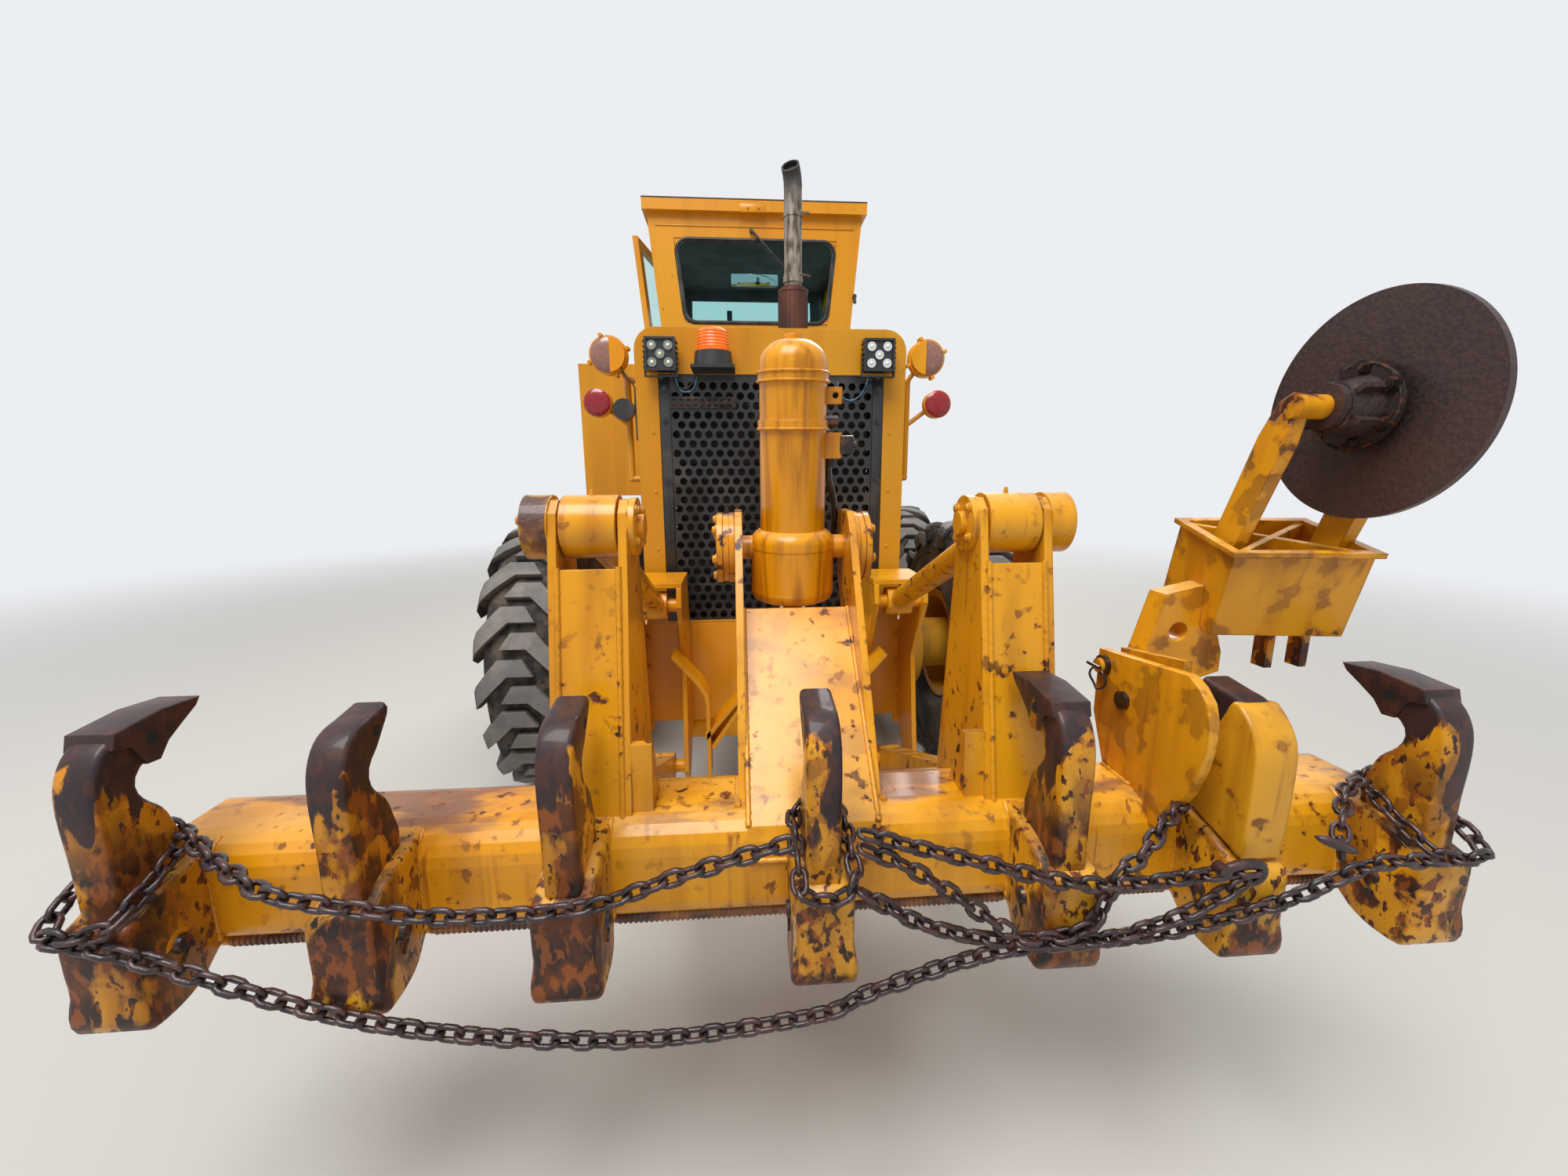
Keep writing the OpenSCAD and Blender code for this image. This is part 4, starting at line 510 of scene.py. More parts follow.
# Exhaust
# A muffler of dark rusted steel under a weathered grey pipe, whose bend is burnt near black.
exhaust_metal, tree, where = new_material("weathered_exhaust_steel")
height = add(tree, "ShaderNodeSeparateXYZ", {0: where}).outputs["Z"]
grain = patches(tree, where, 12, 0.42, 0.62, 6.0, stretch=(1.0, 1.0, 0.25))
pipe_grey = laid_over(tree, linear("#8f8678"), linear("#4e4136"), grain)
band = add(tree, "ShaderNodeMapRange", {"Value": height, "From Min": 3.12, "From Max": 3.28})
burnt = laid_over(tree, pipe_grey, linear("#4a4744"), band.outputs[0])
tip = add(tree, "ShaderNodeMapRange", {"Value": height, "From Min": 3.2, "From Max": 3.3})
burnt = laid_over(tree, burnt, linear("#2c2d30"), tip.outputs[0], 0.85)
can = add(tree, "ShaderNodeMapRange", {"Value": height, "From Min": 2.765, "From Max": 2.75})
blotch = patches(tree, where, 50, 0.4, 0.66, stretch=(1.0, 1.0, 0.3))
rusty = laid_over(tree, linear("#3a221d"), linear("#5c3426"), blotch)
surface(exhaust_metal, tree, laid_over(tree, burnt, rusty, can.outputs[0]), 0.55, grain, 0.8, metallic=0.3)
finish_nodes(exhaust_metal, "exhaust")
MUFFLER = (0.157, -2.8215)
MUFFLER_LOW = 2.47
MUFFLER_HIGH = 2.71


def round_places(centre, radius, count, axis=0, start=0.0):
    """Places evenly round a circle about one of the three axes."""
    across, up = [k for k in range(3) if k != axis]
    places = []
    for k in range(count):
        turn = start + 2 * math.pi * k / count
        place = Vector(centre)
        place[across] += radius * math.cos(turn)
        place[up] += radius * math.sin(turn)
        places.append(place)
    return places


exhaust_trim = bmesh.new()
for z in (2.79, 3.09):
    bar(exhaust_trim, (*MUFFLER, z), (*MUFFLER, z + 0.022), 0.0505, 32)
    bar(exhaust_trim, (MUFFLER[0] + 0.03, MUFFLER[1] - 0.062, z + 0.011),
        (MUFFLER[0] + 0.085, MUFFLER[1] - 0.03, z + 0.011), 0.006, 10)
# Rolled seams of the muffler's can
for z in (2.452, 2.722):
    bar(exhaust_trim, (*MUFFLER, z), (*MUFFLER, z + 0.01), 0.0815, 40)
for place in round_places((*MUFFLER, MUFFLER_LOW), 0.0785, 20, axis=2):
    bar(exhaust_trim, place, (place.x, place.y, MUFFLER_HIGH), 0.003, 6)
finished("exhaust_clamps", exhaust_trim, exhaust_metal, "rear_frame")


# Rear lamps
# Moulded lenses, amber above and red below. The amber ones are half painted over, with four
# studs round each.
def lamp_lens(name, colour, prism_glint):
    """Moulded acrylic: clear colour, tiny prisms inside that are painted lighter towards their cell edges as
    painted glints, and a wet gloss.
    """
    material, tree, where = new_material(name)
    prisms = add(tree, "ShaderNodeTexVoronoi", {"Vector": where, "Scale": 1 / (9 * MM)})
    # The prism cells are painted lighter towards their edges, painted glints
    shade = laid_over(tree, linear(colour), linear(prism_glint), prisms.outputs["Distance"], 0.9)
    return surface(material, tree, shade, 0.22, prisms.outputs["Distance"], 1.0, coat_weight=0.35,
                   coat_roughness=0.12, ior=1.49, transmission_weight=0.1)


amber_lens = lamp_lens("amber_acrylic_lens", "#7d5146", "#a8786a")
red_lens = lamp_lens("red_acrylic_lens", "#64040f", "#b80f20")
finish_nodes(frame_paint, "rear_lamps")
LAMP_R = 0.08
AMBER_X, AMBER_Z = 0.708, 2.286
LENS_PROFILE = [(0.0, -0.016), (0.3, -0.0152), (0.6, -0.0125), (0.85, -0.0075), (0.95, -0.001),
                (0.95, 0.002), (0.0, 0.002)]


def spun(shape, profile, centre, axis, steps):
    """A profile of pairs, out from an axis and along it, turned once round."""
    line = [shape.verts.new(Vector(centre) + Vector((out, 0, 0)) + Vector(axis) * along)
            for out, along in profile]
    rim = [shape.edges.new(pair) for pair in zip(line, line[1:])]
    bmesh.ops.spin(shape, geom=line + rim, cent=centre, axis=axis, angle=2 * math.pi, steps=steps,
                   use_merge=True)
    bmesh.ops.remove_doubles(shape, verts=shape.verts, dist=1e-6)


for lens_name, lens_material, x, z, r in (("amber_lenses", amber_lens, AMBER_X, AMBER_Z, LAMP_R),
                                          ("red_lenses", red_lens, 0.767, 2.087, 0.062)):
    lenses = bmesh.new()
    profile = [(out * r, along * r / LAMP_R) for out, along in LENS_PROFILE]
    for side in (-1, 1):
        spun(lenses, profile, (side * x, HOOD_BACK + 0.128, z), (0, 1, 0), 36)
    finished(lens_name, lenses, lens_material, "rear_frame")
lamp_trim = bmesh.new()
for side in (-1, 1):
    cup = (side * AMBER_X, HOOD_BACK + 0.125, AMBER_Z)
    for place in round_places(cup, LAMP_R * 1.1, 4, axis=1, start=math.radians(20)):
        bar(lamp_trim, place, place + Vector((0, 0.04, 0)), 0.009, 8)
    # Opaque painted half of each lens, towards the machine
    stand = (Matrix.Translation((side * AMBER_X, HOOD_BACK + 0.12, AMBER_Z))
             @ Matrix.Rotation(math.pi / 2, 4, "X"))
    made = bmesh.ops.create_cone(lamp_trim, cap_ends=True, segments=36, radius1=0.0775,
                                 radius2=0.074, depth=0.02, matrix=stand)["verts"]
    cut = bmesh.ops.bisect_plane(
        lamp_trim, geom=made + list({e for v in made for e in v.link_edges})
        + list({f for v in made for f in v.link_faces}),
        plane_co=(side * 0.7, 0, 0), plane_no=(side, 0, 0), clear_outer=True)["geom_cut"]
    bmesh.ops.contextual_create(lamp_trim,
                                geom=[part for part in cut if isinstance(part, bmesh.types.BMEdge)])
finished("lamp_cups_painted", lamp_trim, frame_paint, "rear_frame")


# Beacon
# A ribbed amber dome with a plain rim round its foot.
beacon_lens = finish("orange_acrylic_dome", ("#f06408", "#ff7a10"), (30, 0.4, 0.6), 0.4, 5, 0.3,
                     coat_weight=0.1, coat_roughness=0.2, ior=1.49,
                     emission_color=linear("#ff5a00"), emission_strength=0.2)
BEACON = Vector((-0.246, -3.6635, 2.262))
dome = bmesh.new()
profile = [(0.0, 0.0), (0.066, 0.0), (0.066, 0.012), (0.062, 0.014)]
for k in range(5):
    low = 0.016 + 0.012 * k
    crest = 0.0635 - 0.0006 * k
    profile += [(crest, low), (crest - 0.002, low + 0.006), (crest, low + 0.011)]
profile += [(0.055, 0.083), (0.04, 0.0905), (0.02, 0.094), (0.0, 0.0945)]
spun(dome, profile + profile[:1], BEACON, (0, 0, 1), 40)
dome_piece = finished("beacon_dome", dome, beacon_lens, "rear_frame", 30)
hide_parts("beacon")


# Work lamps
# Square LED lamps: five bright reflectors on the face of a ribbed black casting.
reflector = finish("chromed_reflector", ("#dfe3e4",), None, 0.12, 4, 0.2, metallic=0.95)
chip = finish("led_phosphor", ("#f4f0c8",), None, 0.4, 2, 0.1)
# The left lamp's bowls are duller
dull_grey = finish("dull_grey_reflector", ("#8d938d",), None, 0.35, 4, 0.2, metallic=0.9)
WORK_LAMPS = [(-0.46, 2.255), (0.441, 2.259)]
LAMP_FACE = -3.6595
bowls = bmesh.new()
chips = bmesh.new()
ribs = bmesh.new()
for x, z in WORK_LAMPS:
    for dx, dz in ((-0.033, -0.033), (0.033, -0.033), (0, 0), (-0.033, 0.033), (0.033, 0.033)):
        place = (Matrix.Translation((x + dx, LAMP_FACE - 0.003, z + dz))
                 @ Matrix.Rotation(math.pi / 2, 4, "X"))
        bmesh.ops.create_cone(bowls, cap_ends=True, segments=24, radius1=0.0185, radius2=0.009, depth=0.006,
                              matrix=place @ Matrix.Rotation(math.pi, 4, "X"))
        bmesh.ops.create_uvsphere(chips, u_segments=12, v_segments=6, radius=0.008,
                                  matrix=Matrix.Translation((x + dx, LAMP_FACE - 0.004, z + dz)))
    for side in (-1, 1):
        for k in range(6):
            low = z - 0.055 + 0.02 * k
            block(ribs, (x + side * 0.066 - 0.003, LAMP_FACE - 0.0085, low),
                  (x + side * 0.066 + 0.003, LAMP_FACE + 0.0475, low + 0.006))
    bolt(ribs, (x, LAMP_FACE + 0.022, z - 0.084), (0, 0, -1), 0.017)
for face in bowls.faces:
    face.material_index = 1 if face.calc_center_median().x < 0 else 0
finished("work_lamp_reflectors", bowls, (reflector, dull_grey), "rear_frame")
finished("work_lamp_chips", chips, chip, "rear_frame", 180)
finished("work_lamp_fins", ribs, black_enamel, "rear_frame")


# Cab
# Folded and welded sheet steel, flush panels joined by a shallow step below the roof.
CAB_BACK = -1.6415
rubber = finish("weathered_window_rubber", ("#1c1d1f", "#3d3d3f"), (30, 0.4, 0.7), 0.6, 3, 0.3)
ARC_STEPS = 8
WINDOW_MIDDLE = 3.12


def rounded_window(low_half, high_half, low, high, radius):
    """Corners and arcs round a window that widens upwards, as (across, up) pairs."""
    corners = [(low_half, low), (high_half, high), (-high_half, high), (-low_half, low)]
    around = []
    for i, corner in enumerate(corners):
        here = Vector(corner)
        back = (Vector(corners[i - 1]) - here).normalized()
        ahead = (Vector(corners[(i + 1) % 4]) - here).normalized()
        half_angle = back.angle(ahead) / 2
        reach = radius / math.tan(half_angle)
        centre = here + (back + ahead).normalized() * (radius / math.sin(half_angle))
        start = here + back * reach - centre
        total = math.pi - 2 * half_angle
        for k in range(ARC_STEPS + 1):
            around.append(centre + Matrix.Rotation(total * k / ARC_STEPS, 2) @ start)
    return around


REAR_WINDOW = (0.513, 0.573, 2.842, 3.398)
around = rounded_window(*REAR_WINDOW, 0.085)
panel = bmesh.new()
inner = [panel.verts.new((p.x, CAB_BACK + 0.004, p.y)) for p in around]
outer = [panel.verts.new((p.x, CAB_BACK + 0.004, p.y)) for p in rounded_window(*REAR_WINDOW, 0.0001)]
for ring in (inner, outer):
    for i, vert in enumerate(ring):
        panel.edges.new((vert, ring[(i + 1) % len(ring)]))
count = len(inner)
for i in range(count):
    panel.faces.new((inner[i], inner[(i + 1) % count], outer[(i + 1) % count], outer[i]))
bmesh.ops.remove_doubles(panel, verts=panel.verts, dist=0.0005)
bmesh.ops.dissolve_degenerate(panel, edges=panel.edges, dist=1e-5)
bmesh.ops.solidify(panel, geom=panel.faces, thickness=0.01)
finished("rear_window_corners", panel, hood_paint, "front_frame")
seal = bmesh.new()
swept(seal, [(p.x, CAB_BACK - 0.001, p.y) for p in around], 0.013, 8, closed=True, flat=0.7)
inner = [(p.x * 0.975, CAB_BACK + 0.005, WINDOW_MIDDLE + (p.y - WINDOW_MIDDLE) * 0.965) for p in around]
swept(seal, inner, 0.009, 8, closed=True)
front_line = rounded_window(0.556, 0.634, 2.155, 3.435, 0.06)
swept(seal, [(p.x, -0.002, p.y) for p in front_line], 0.012, 8, closed=True, flat=0.7)
finished("window_seals", seal, rubber, "front_frame", 60)

cab_trim = bmesh.new()
# Step under the roof
block(cab_trim, (-0.7, CAB_BACK - 0.006, 3.475), (0.7, CAB_BACK + 0.004, 3.48), bevel=0.001)
# Bracket bolted under the roof's rear edge
for x in (-0.055, 0.02):
    bolt(cab_trim, (x, -1.699, 3.578), (0, -1, 0), 0.014, False)
block(cab_trim, (-0.11, -1.699, 3.552), (0.064, -1.691, 3.606), bevel=0.002)
finished("cab_trim", cab_trim, hood_paint, "front_frame")

wiper = bmesh.new()
bar(wiper, (-0.033, CAB_BACK + 0.01, 3.45), (-0.033, CAB_BACK - 0.03, 3.45), 0.012, 12)
swept(wiper, [(-0.033, CAB_BACK - 0.026, 3.45), (0.05, CAB_BACK - 0.027, 3.37),
              (0.2, CAB_BACK - 0.024, 3.215)], [0.009, 0.008, 0.004], 8)
swept(wiper, [(0.02, CAB_BACK - 0.02, 3.37), (0.2, CAB_BACK - 0.017, 3.215), (0.36, CAB_BACK - 0.02, 3.05)],
      [0.004, 0.006, 0.004], 6)
# Door stay and its rubber catch on the right rear post
bar(wiper, (0.71, CAB_BACK + 0.02, 3.03), (0.71, CAB_BACK - 0.03, 3.03), 0.014, 12)
bar(wiper, (0.71, CAB_BACK - 0.03, 2.985), (0.71, CAB_BACK - 0.012, 3.045), 0.012, 12)
# Sealing sheet over the roof, whose edge shows as a dark line
block(wiper, (-0.784, -1.694, 3.63), (0.784, 0.06, 3.6395), bevel=0.003)
finished("rear_wiper", wiper, rubber, "front_frame")

# Inside, a moulded dark lining over the roof and the posts, and the driver's mirror
lining = finish("charcoal_moulded_lining", ("#4c4d53", "#5a5b62"), (90, 0.4, 0.6), 0.85, 2.5, 0.5)
inside = bmesh.new()
block(inside, (-0.705, CAB_BACK + 0.042, 3.49), (0.705, -0.045, 3.548), bevel=0.01)
for side in (-1, 1):
    post = [(side * x, -0.09, z) for x, z in ((0.62, 3.4), (0.64, 3.28), (0.63, 3.16), (0.615, 3.08))]
    swept(inside, post, [0.06, 0.075, 0.07, 0.045], 12, flat=0.6)
# Cover over the windscreen's header
block(inside, (-0.69, -0.085, 3.4), (0.69, -0.05, 3.5), bevel=0.01)
# Centre post of the windscreen
block(inside, (-0.235, -0.075, 2.16), (-0.185, -0.042, 3.32), bevel=0.006)
bar(inside, (-0.005, -1.36, 3.27), (-0.005, -1.38, 3.33), 0.008, 10)
finished("cab_lining", inside, lining, "front_frame")
mirror_glass = finish("silvered_mirror", ("#b9bfc4",), None, 0.06, 60, 0.1, metallic=1.0)
mirror = bmesh.new()
block(mirror, (-0.185, -1.405, 3.16), (0.175, -1.385, 3.255),
      turn=Matrix.Rotation(math.radians(12), 4, "X"), bevel=0.018)
finished("driver_mirror", mirror, mirror_glass, "front_frame")


# Glass
# Safety glass with a faint green tint.
glass = finish("tinted_safety_glass", ("#cdeceb",), None, 0.03, 40, 0.05,
               transmission_weight=1.0, ior=1.02)
finish_nodes(glass, "cab_glass", "door_left_glass", "door_right_glass")


# Seat
# A sprung seat with a moulded foam cushion and back in black vinyl, sewn in three channels.
vinyl, tree, where = new_material("black_seat_vinyl")
grain = add(tree, "ShaderNodeTexVoronoi", {"Vector": where, "Scale": 1 / (6 * MM)})
surface(vinyl, tree,
        laid_over(tree, linear("#26262a"), linear("#3a3a3e"), patches(tree, where, 80, 0.4, 0.66)),
        0.55, grain.outputs["Distance"], 0.6, coat_weight=0.15)
CAB_FLOOR = 1.56
SEAT_Y = -0.9715
for pad_name, low, high, up in (
    ("seat_cushion", (-0.25, SEAT_Y - 0.25, CAB_FLOOR + 0.521), (0.25, SEAT_Y + 0.25, CAB_FLOOR + 0.64), 2),
    ("seat_back", (-0.24, SEAT_Y - 0.34, CAB_FLOOR + 0.56), (0.24, SEAT_Y - 0.232, CAB_FLOOR + 1.18), 1),
):
    low, high = Vector(low), Vector(high)
    middle, half = (low + high) / 2, (high - low) / 2
    pad = bmesh.new()
    bmesh.ops.create_cube(pad, size=2.0)
    bmesh.ops.subdivide_edges(pad, edges=pad.edges, cuts=11, use_grid_fill=True)
    across = [k for k in range(3) if k != up]
    for vert in pad.verts:
        a, b = vert.co[across[0]], vert.co[across[1]]
        crown = (1 - abs(a) ** 3) * (1 - abs(b) ** 3)
        channel = 0.1 * max(0.0, 1 - abs(abs(a) - 0.34) / 0.07) * (1 - abs(b) ** 6)
        furthest = max(abs(a), abs(b))
        pull = 1 - 0.035 * (1 - furthest) if furthest > 0.98 else 1
        thick = 0.62 + 0.38 * crown - channel
        place = Vector(vert.co)
        for k in across:
            place[k] *= pull * (0.93 + 0.07 * (1 - vert.co[up] ** 2))
        place[up] = vert.co[up] * thick if vert.co[up] > 0 or up == 1 else vert.co[up]
        vert.co = middle + Vector([place[k] * half[k] * 0.985 for k in range(3)])
    piece = finished(pad_name, pad, vinyl, "front_frame", 60)
    rounding = piece.modifiers.new("rounding", "SUBSURF")
    rounding.levels = 1
    rounding.render_levels = 1
    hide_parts("seat")
pedestal = bmesh.new()
for low, high in ((0.04, 0.1), (0.485, 0.53)):
    block(pedestal, (-0.15, SEAT_Y - 0.15, CAB_FLOOR + low), (0.15, SEAT_Y + 0.15, CAB_FLOOR + high),
          bevel=0.006)
for k in range(14):
    low = CAB_FLOOR + 0.1 + 0.0275 * k
    start_r, end_r = (0.14, 0.125) if k % 2 else (0.125, 0.14)
    bar(pedestal, (0, SEAT_Y, low), (0, SEAT_Y, low + 0.0275), start_r, 32, end_r)
finished("seat_pedestal", pedestal, rubber, "front_frame")


# Tandem cases
# Deep welded boxes with bolted hub rings, under dull paint browned by dust.
case_paint = painted_steel("tandem_enamel_dusty", chipped=0.1, chip_mm=30, edge_wear=0.3, runs=0.6,
                           wet=0.25, stained=0.3, colours=("#d8930f", "#c9922a", "#8a6a3c"))
finish_nodes(case_paint, "tandem_cases")


# Tyres
# Bias-ply rubber with deep hooked lugs, grey with age on top and packed with brown dust between.
AXLES = {"rear": (-2.7415, "wheel_rear"), "mid": (-1.0915, "wheel_mid"), "front": (4.5335, "wheel_front")}
TYRE_R = 0.745
TRACK_HALF = 1.215
rim_paint = painted_steel("wheel_enamel", chipped=0.3, chip_mm=24, edge_wear=0.6, runs=0.1, wet=0.2,
                          colours=("#d8930f", "#c9922a", "#8a6a3c"))
for axle, (axle_y, wheel) in AXLES.items():
    tyre_rubber, tree, where = new_material("dusty_tyre_rubber_" + axle)
    hubwards = add(tree, "ShaderNodeMapping", {
        "Vector": where, "Location": (0, -axle_y, -TYRE_R), "Scale": (0.0, 1.0, 1.0)})
    reach = add(tree, "ShaderNodeVectorMath", {0: hubwards.outputs[0]}, operation="LENGTH").outputs["Value"]
    tread = add(tree, "ShaderNodeMapRange", {
        "Value": reach, "From Min": TYRE_R - 0.035, "From Max": TYRE_R - 0.004})
    dust = patches(tree, where, 120, 0.36, 0.66, 6.0)
    cake = patches(tree, where, 30, 0.42, 0.62, 6.0, shift=(4.0, 2.0, 1.0))
    grooves = laid_over(tree, linear("#232221"), linear("#5d5041"), cake, 0.75)
    tops = laid_over(tree, linear("#6d6b69"), linear("#8b847b"), dust, 0.8)
    tops = laid_over(tree, tops, linear("#4c4a47"), cake, 0.3)
    side = add(tree, "ShaderNodeMapRange", {"Value": reach, "From Min": 0.6, "From Max": 0.52})
    wall = laid_over(tree, linear("#2e2d2c"), linear("#6d6457"), dust, 0.7)
    grooves = laid_over(tree, grooves, wall, side.outputs[0])
    grit = patches(tree, where, 7, 0.3, 0.7, 8.0)
    surface(tyre_rubber, tree, laid_over(tree, grooves, tops, tread.outputs[0]), 0.78, grit, 2.0)
    for side in (-1, 1):
        hand = "_left" if side < 0 else "_right"
        finish_nodes(tyre_rubber, "tyre_" + axle + hand)
        finish_nodes(rim_paint, "rim_" + axle + hand)
        wheel_trim = bmesh.new()
        face = side * (TRACK_HALF + 0.047)
        hub = Vector((face, axle_y, TYRE_R))
        outwards = Vector((side, 0, 0))
        for place in round_places(hub, 0.125, 12):
            bolt(wheel_trim, place, outwards, 0.03)
        bar(wheel_trim, hub - outwards * 0.001, hub + outwards * 0.034, 0.085, 40, 0.078)
        finished("wheel_nuts_" + axle + hand, wheel_trim, rim_paint, wheel + hand)
        bands = bmesh.new()
        # Moulded ribs round the sidewalls
        for reach_m, out in ((0.405, 0.199), (0.43, 0.2005), (0.56, 0.2025)):
            for wall in (-1, 1):
                middle = (side * TRACK_HALF + wall * out, axle_y, TYRE_R)
                swept(bands, round_places(middle, reach_m, 72), 0.0045, 6, closed=True)
        finished("sidewall_ribs_" + axle + hand, bands, tyre_rubber, wheel + hand)


# Blade
# A rolled moldboard scoured bright by the ground, with patches of brown rust.
blade_steel, tree, where = new_material("scoured_blade_steel")
scratches = patches(tree, where, 10, 0.35, 0.7, 6.0, stretch=(0.05, 1.0, 1.0))
scoured = laid_over(tree, linear("#8b8781"), linear("#5f5852"), scratches)
scoured = laid_over(tree, scoured, linear("#7d4a2a"), patches(tree, where, 120, 0.5, 0.64, 6.0))
surface(blade_steel, tree, scoured, 0.38, scratches, 0.6, metallic=0.65)
finish_nodes(blade_steel, "moldboard")


# Lift cylinders
# Painted barrels with hard chromed rods, dulled in places by an oily film.
chrome, tree, where = new_material("hard_chromed_rod")
film_and_sheen = patches(tree, where, 60, 0.45, 0.7)
chrome_colour = laid_over(tree, linear("#c9cccd"), linear("#8f8c86"), film_and_sheen)
polish = patches(tree, where, 8, 0.3, 0.7, stretch=(1.0, 1.0, 0.1))
surface(chrome, tree, chrome_colour, 0.16, polish, 0.1, metallic=0.95)
finish_nodes(chrome, "lift_rod_left", "lift_rod_right", "ripper_rod", "tie_stud")
finish_nodes(frame_paint, "lift_barrel_left", "lift_barrel_right")


# Ripper beam
# A heavy box beam with masts, all welded plate, hand painted many times and kept outdoors.
ripper_paint = painted_steel("ripper_enamel_wet", chipped=0.5, chip_mm=17, edge_wear=0.6, wet=0.9,
                             lumpy=0.9, stained=0.95, scuffed=0.8, runs=0.55, worn=0.2)
bracket_paint = painted_steel("bracket_enamel_rusted", chipped=0.86, chip_mm=42, edge_wear=0.9,
                              wet=0.8, lumpy=0.9, stained=0.95, runs=0.5, worn=0.35)
finish_nodes(ripper_paint, "ripper_beam", "upper_links", "lower_links")
SHANK_X = (-1.3, -0.89, -0.497, 0.0, 0.497, 0.89, 1.3)
BEAM_BACK = -5.0712
BEAM_FRONT = -4.8412
BEAM_TOP = 1.045
BEAM_LOW = 0.815
HOLDER_HALF = 0.0543
MAST_PLATES = (0.399, 0.419, 0.551, 0.571)
PIN = Vector((0, -5.1512, 0.895))
TRUNNION = Vector((0, -4.5215, 1.57))
MAST_HEAD = Vector((0, -4.8335, 1.66))


def weld(shape, path, size=0.007):
    """A hand laid bead along a seam, rippled every few millimetres."""
    points = [Vector(p) for p in path]
    along = []
    for start, end in zip(points, points[1:]):
        steps = max(2, round((end - start).length / 0.009))
        along += [start.lerp(end, k / steps) for k in range(steps)]
    along.append(points[-1])
    radii = [size * (1.0 + 0.22 * (k % 2) + 0.14 * math.sin(k * 2.3)) for k in range(len(along))]
    swept(shape, along, radii, 6)


welds = bmesh.new()
for side in (-1, 1):
    for x in MAST_PLATES:
        weld(welds, [(side * x, BEAM_BACK + 0.07, BEAM_TOP - 0.001),
                     (side * x, BEAM_FRONT - 0.045, BEAM_TOP)])
    for x in (0.419, 0.551):
        weld(welds, [(side * x, -5.0312, 0.985), (side * x, -4.917, 1.579)], 0.006)
    cover = ((-5.0552, 1.023), (-5.0112, 1.061), (-4.6265, 1.412))
    weld(welds, [(side * 0.144, y, z) for y, z in cover], 0.006)
    weld(welds, [(side * 0.167, BEAM_BACK + 0.06, BEAM_TOP), (side * 0.167, BEAM_FRONT - 0.045, BEAM_TOP)])
    # Seam round the head of the centre plates
    seam = round_places((side * 0.171, TRUNNION.y, TRUNNION.z), 0.087, 24)
    weld(welds, seam + seam[:1], 0.004)
weld(welds, [(-0.146, BEAM_BACK - 0.001, 0.951), (0.146, BEAM_BACK - 0.001, 0.951)], 0.006)
for x in SHANK_X:
    for edge in (x - HOLDER_HALF, x + HOLDER_HALF):
        weld(welds, [(edge, BEAM_BACK, 0.83), (edge, BEAM_BACK, 0.965), (edge, -5.057, 1.013),
                     (edge, -5.035, 1.031), (edge, -5.022, 1.037)])
finished("ripper_welds", welds, ripper_paint, "ripper", 60)

# Reinforcing rod under the beam's rear edge, ribbed for concrete
rebar_rust, tree, where = new_material("rusted_ribbed_rod")
rebar_brown = laid_over(tree, linear("#4a2818"), linear("#8a5424"), patches(tree, where, 40, 0.42, 0.6, 8.0))
rebar_brown = laid_over(tree, rebar_brown, linear("#b8801c"), patches(tree, where, 60, 0.58, 0.64, 8.0))
surface(rebar_rust, tree, rebar_brown, 0.5, patches(tree, where, 5, 0.3, 0.7), 1.0, coat_weight=0.2)
ROD_Y, ROD_Z = -5.0412, 0.81
ribs = bmesh.new()
for near, far in zip(SHANK_X, SHANK_X[1:]):
    bar(ribs, (near + HOLDER_HALF, ROD_Y, ROD_Z), (far - HOLDER_HALF, ROD_Y, ROD_Z), 0.0143, 14)
rib_x = -1.295
while rib_x < 1.296:
    if min(abs(rib_x - x) for x in SHANK_X) > 0.056:
        bar(ribs, (rib_x - 0.002, ROD_Y, ROD_Z), (rib_x + 0.003, ROD_Y, ROD_Z), 0.0165, 10)
    rib_x += 0.0115
finished("ribbed_rod", ribs, rebar_rust, "ripper")

pin_ends = bmesh.new()
for x in SHANK_X:
    for side in (-1, 1):
        face = x + side * 0.0613
        bar(pin_ends, (face, PIN.y, PIN.z), (face + side * 0.0085, PIN.y, PIN.z), 0.019, 20, 0.016)
        # Spring clip through the pin's end
        clip = [(face + side * 0.004, PIN.y + 0.012 * math.sin(k * 0.55), PIN.z + 0.02 - 0.008 * k)
                for k in range(9)]
        swept(pin_ends, clip, 0.0024, 6)
finished("shank_pins", pin_ends, dark_steel, "ripper")

mast_trim = bmesh.new()
for side in (-1, 1):
    across = Vector((side, 0, 0))
    # Stacked flanges that hold the cylinder's trunnion
    for layer, r in enumerate((0.1, 0.097, 0.1)):
        near = 0.166 + 0.0165 * layer
        bar(mast_trim, TRUNNION + across * near, TRUNNION + across * (near + 0.0155), r, 48)
        bar(mast_trim, TRUNNION + across * (near + 0.015), TRUNNION + across * (near + 0.017),
            r - 0.004, 48)
    # Retaining plates and bolts on the mast heads and the trunnion flanges
    for place in round_places(TRUNNION + across * 0.216, 0.08, 6, start=0.3):
        bolt(mast_trim, place, across, 0.02)
    bar(mast_trim, MAST_HEAD + across * 0.628, MAST_HEAD + across * 0.636, 0.052, 32)
    for place in round_places(MAST_HEAD + across * 0.636, 0.034, 3, start=0.5):
        bolt(mast_trim, place, across, 0.018)
    for place in round_places(MAST_HEAD + across * 0.384, 0.05, 4, start=0.7):
        bolt(mast_trim, place, -across, 0.016)
    # Grease nipples on the link bosses
    nipple = MAST_HEAD + Vector((side * 0.485, 0, 0.07))
    bar(mast_trim, nipple, nipple + Vector((0, 0, 0.015)), 0.006, 10, 0.004)
finished("mast_bolts", mast_trim, ripper_paint, "ripper")
worn_cap = bmesh.new()
bar(worn_cap, MAST_HEAD - Vector((0.5735, 0, 0)), MAST_HEAD - Vector((0.6292, 0, 0)), 0.0731, 48)
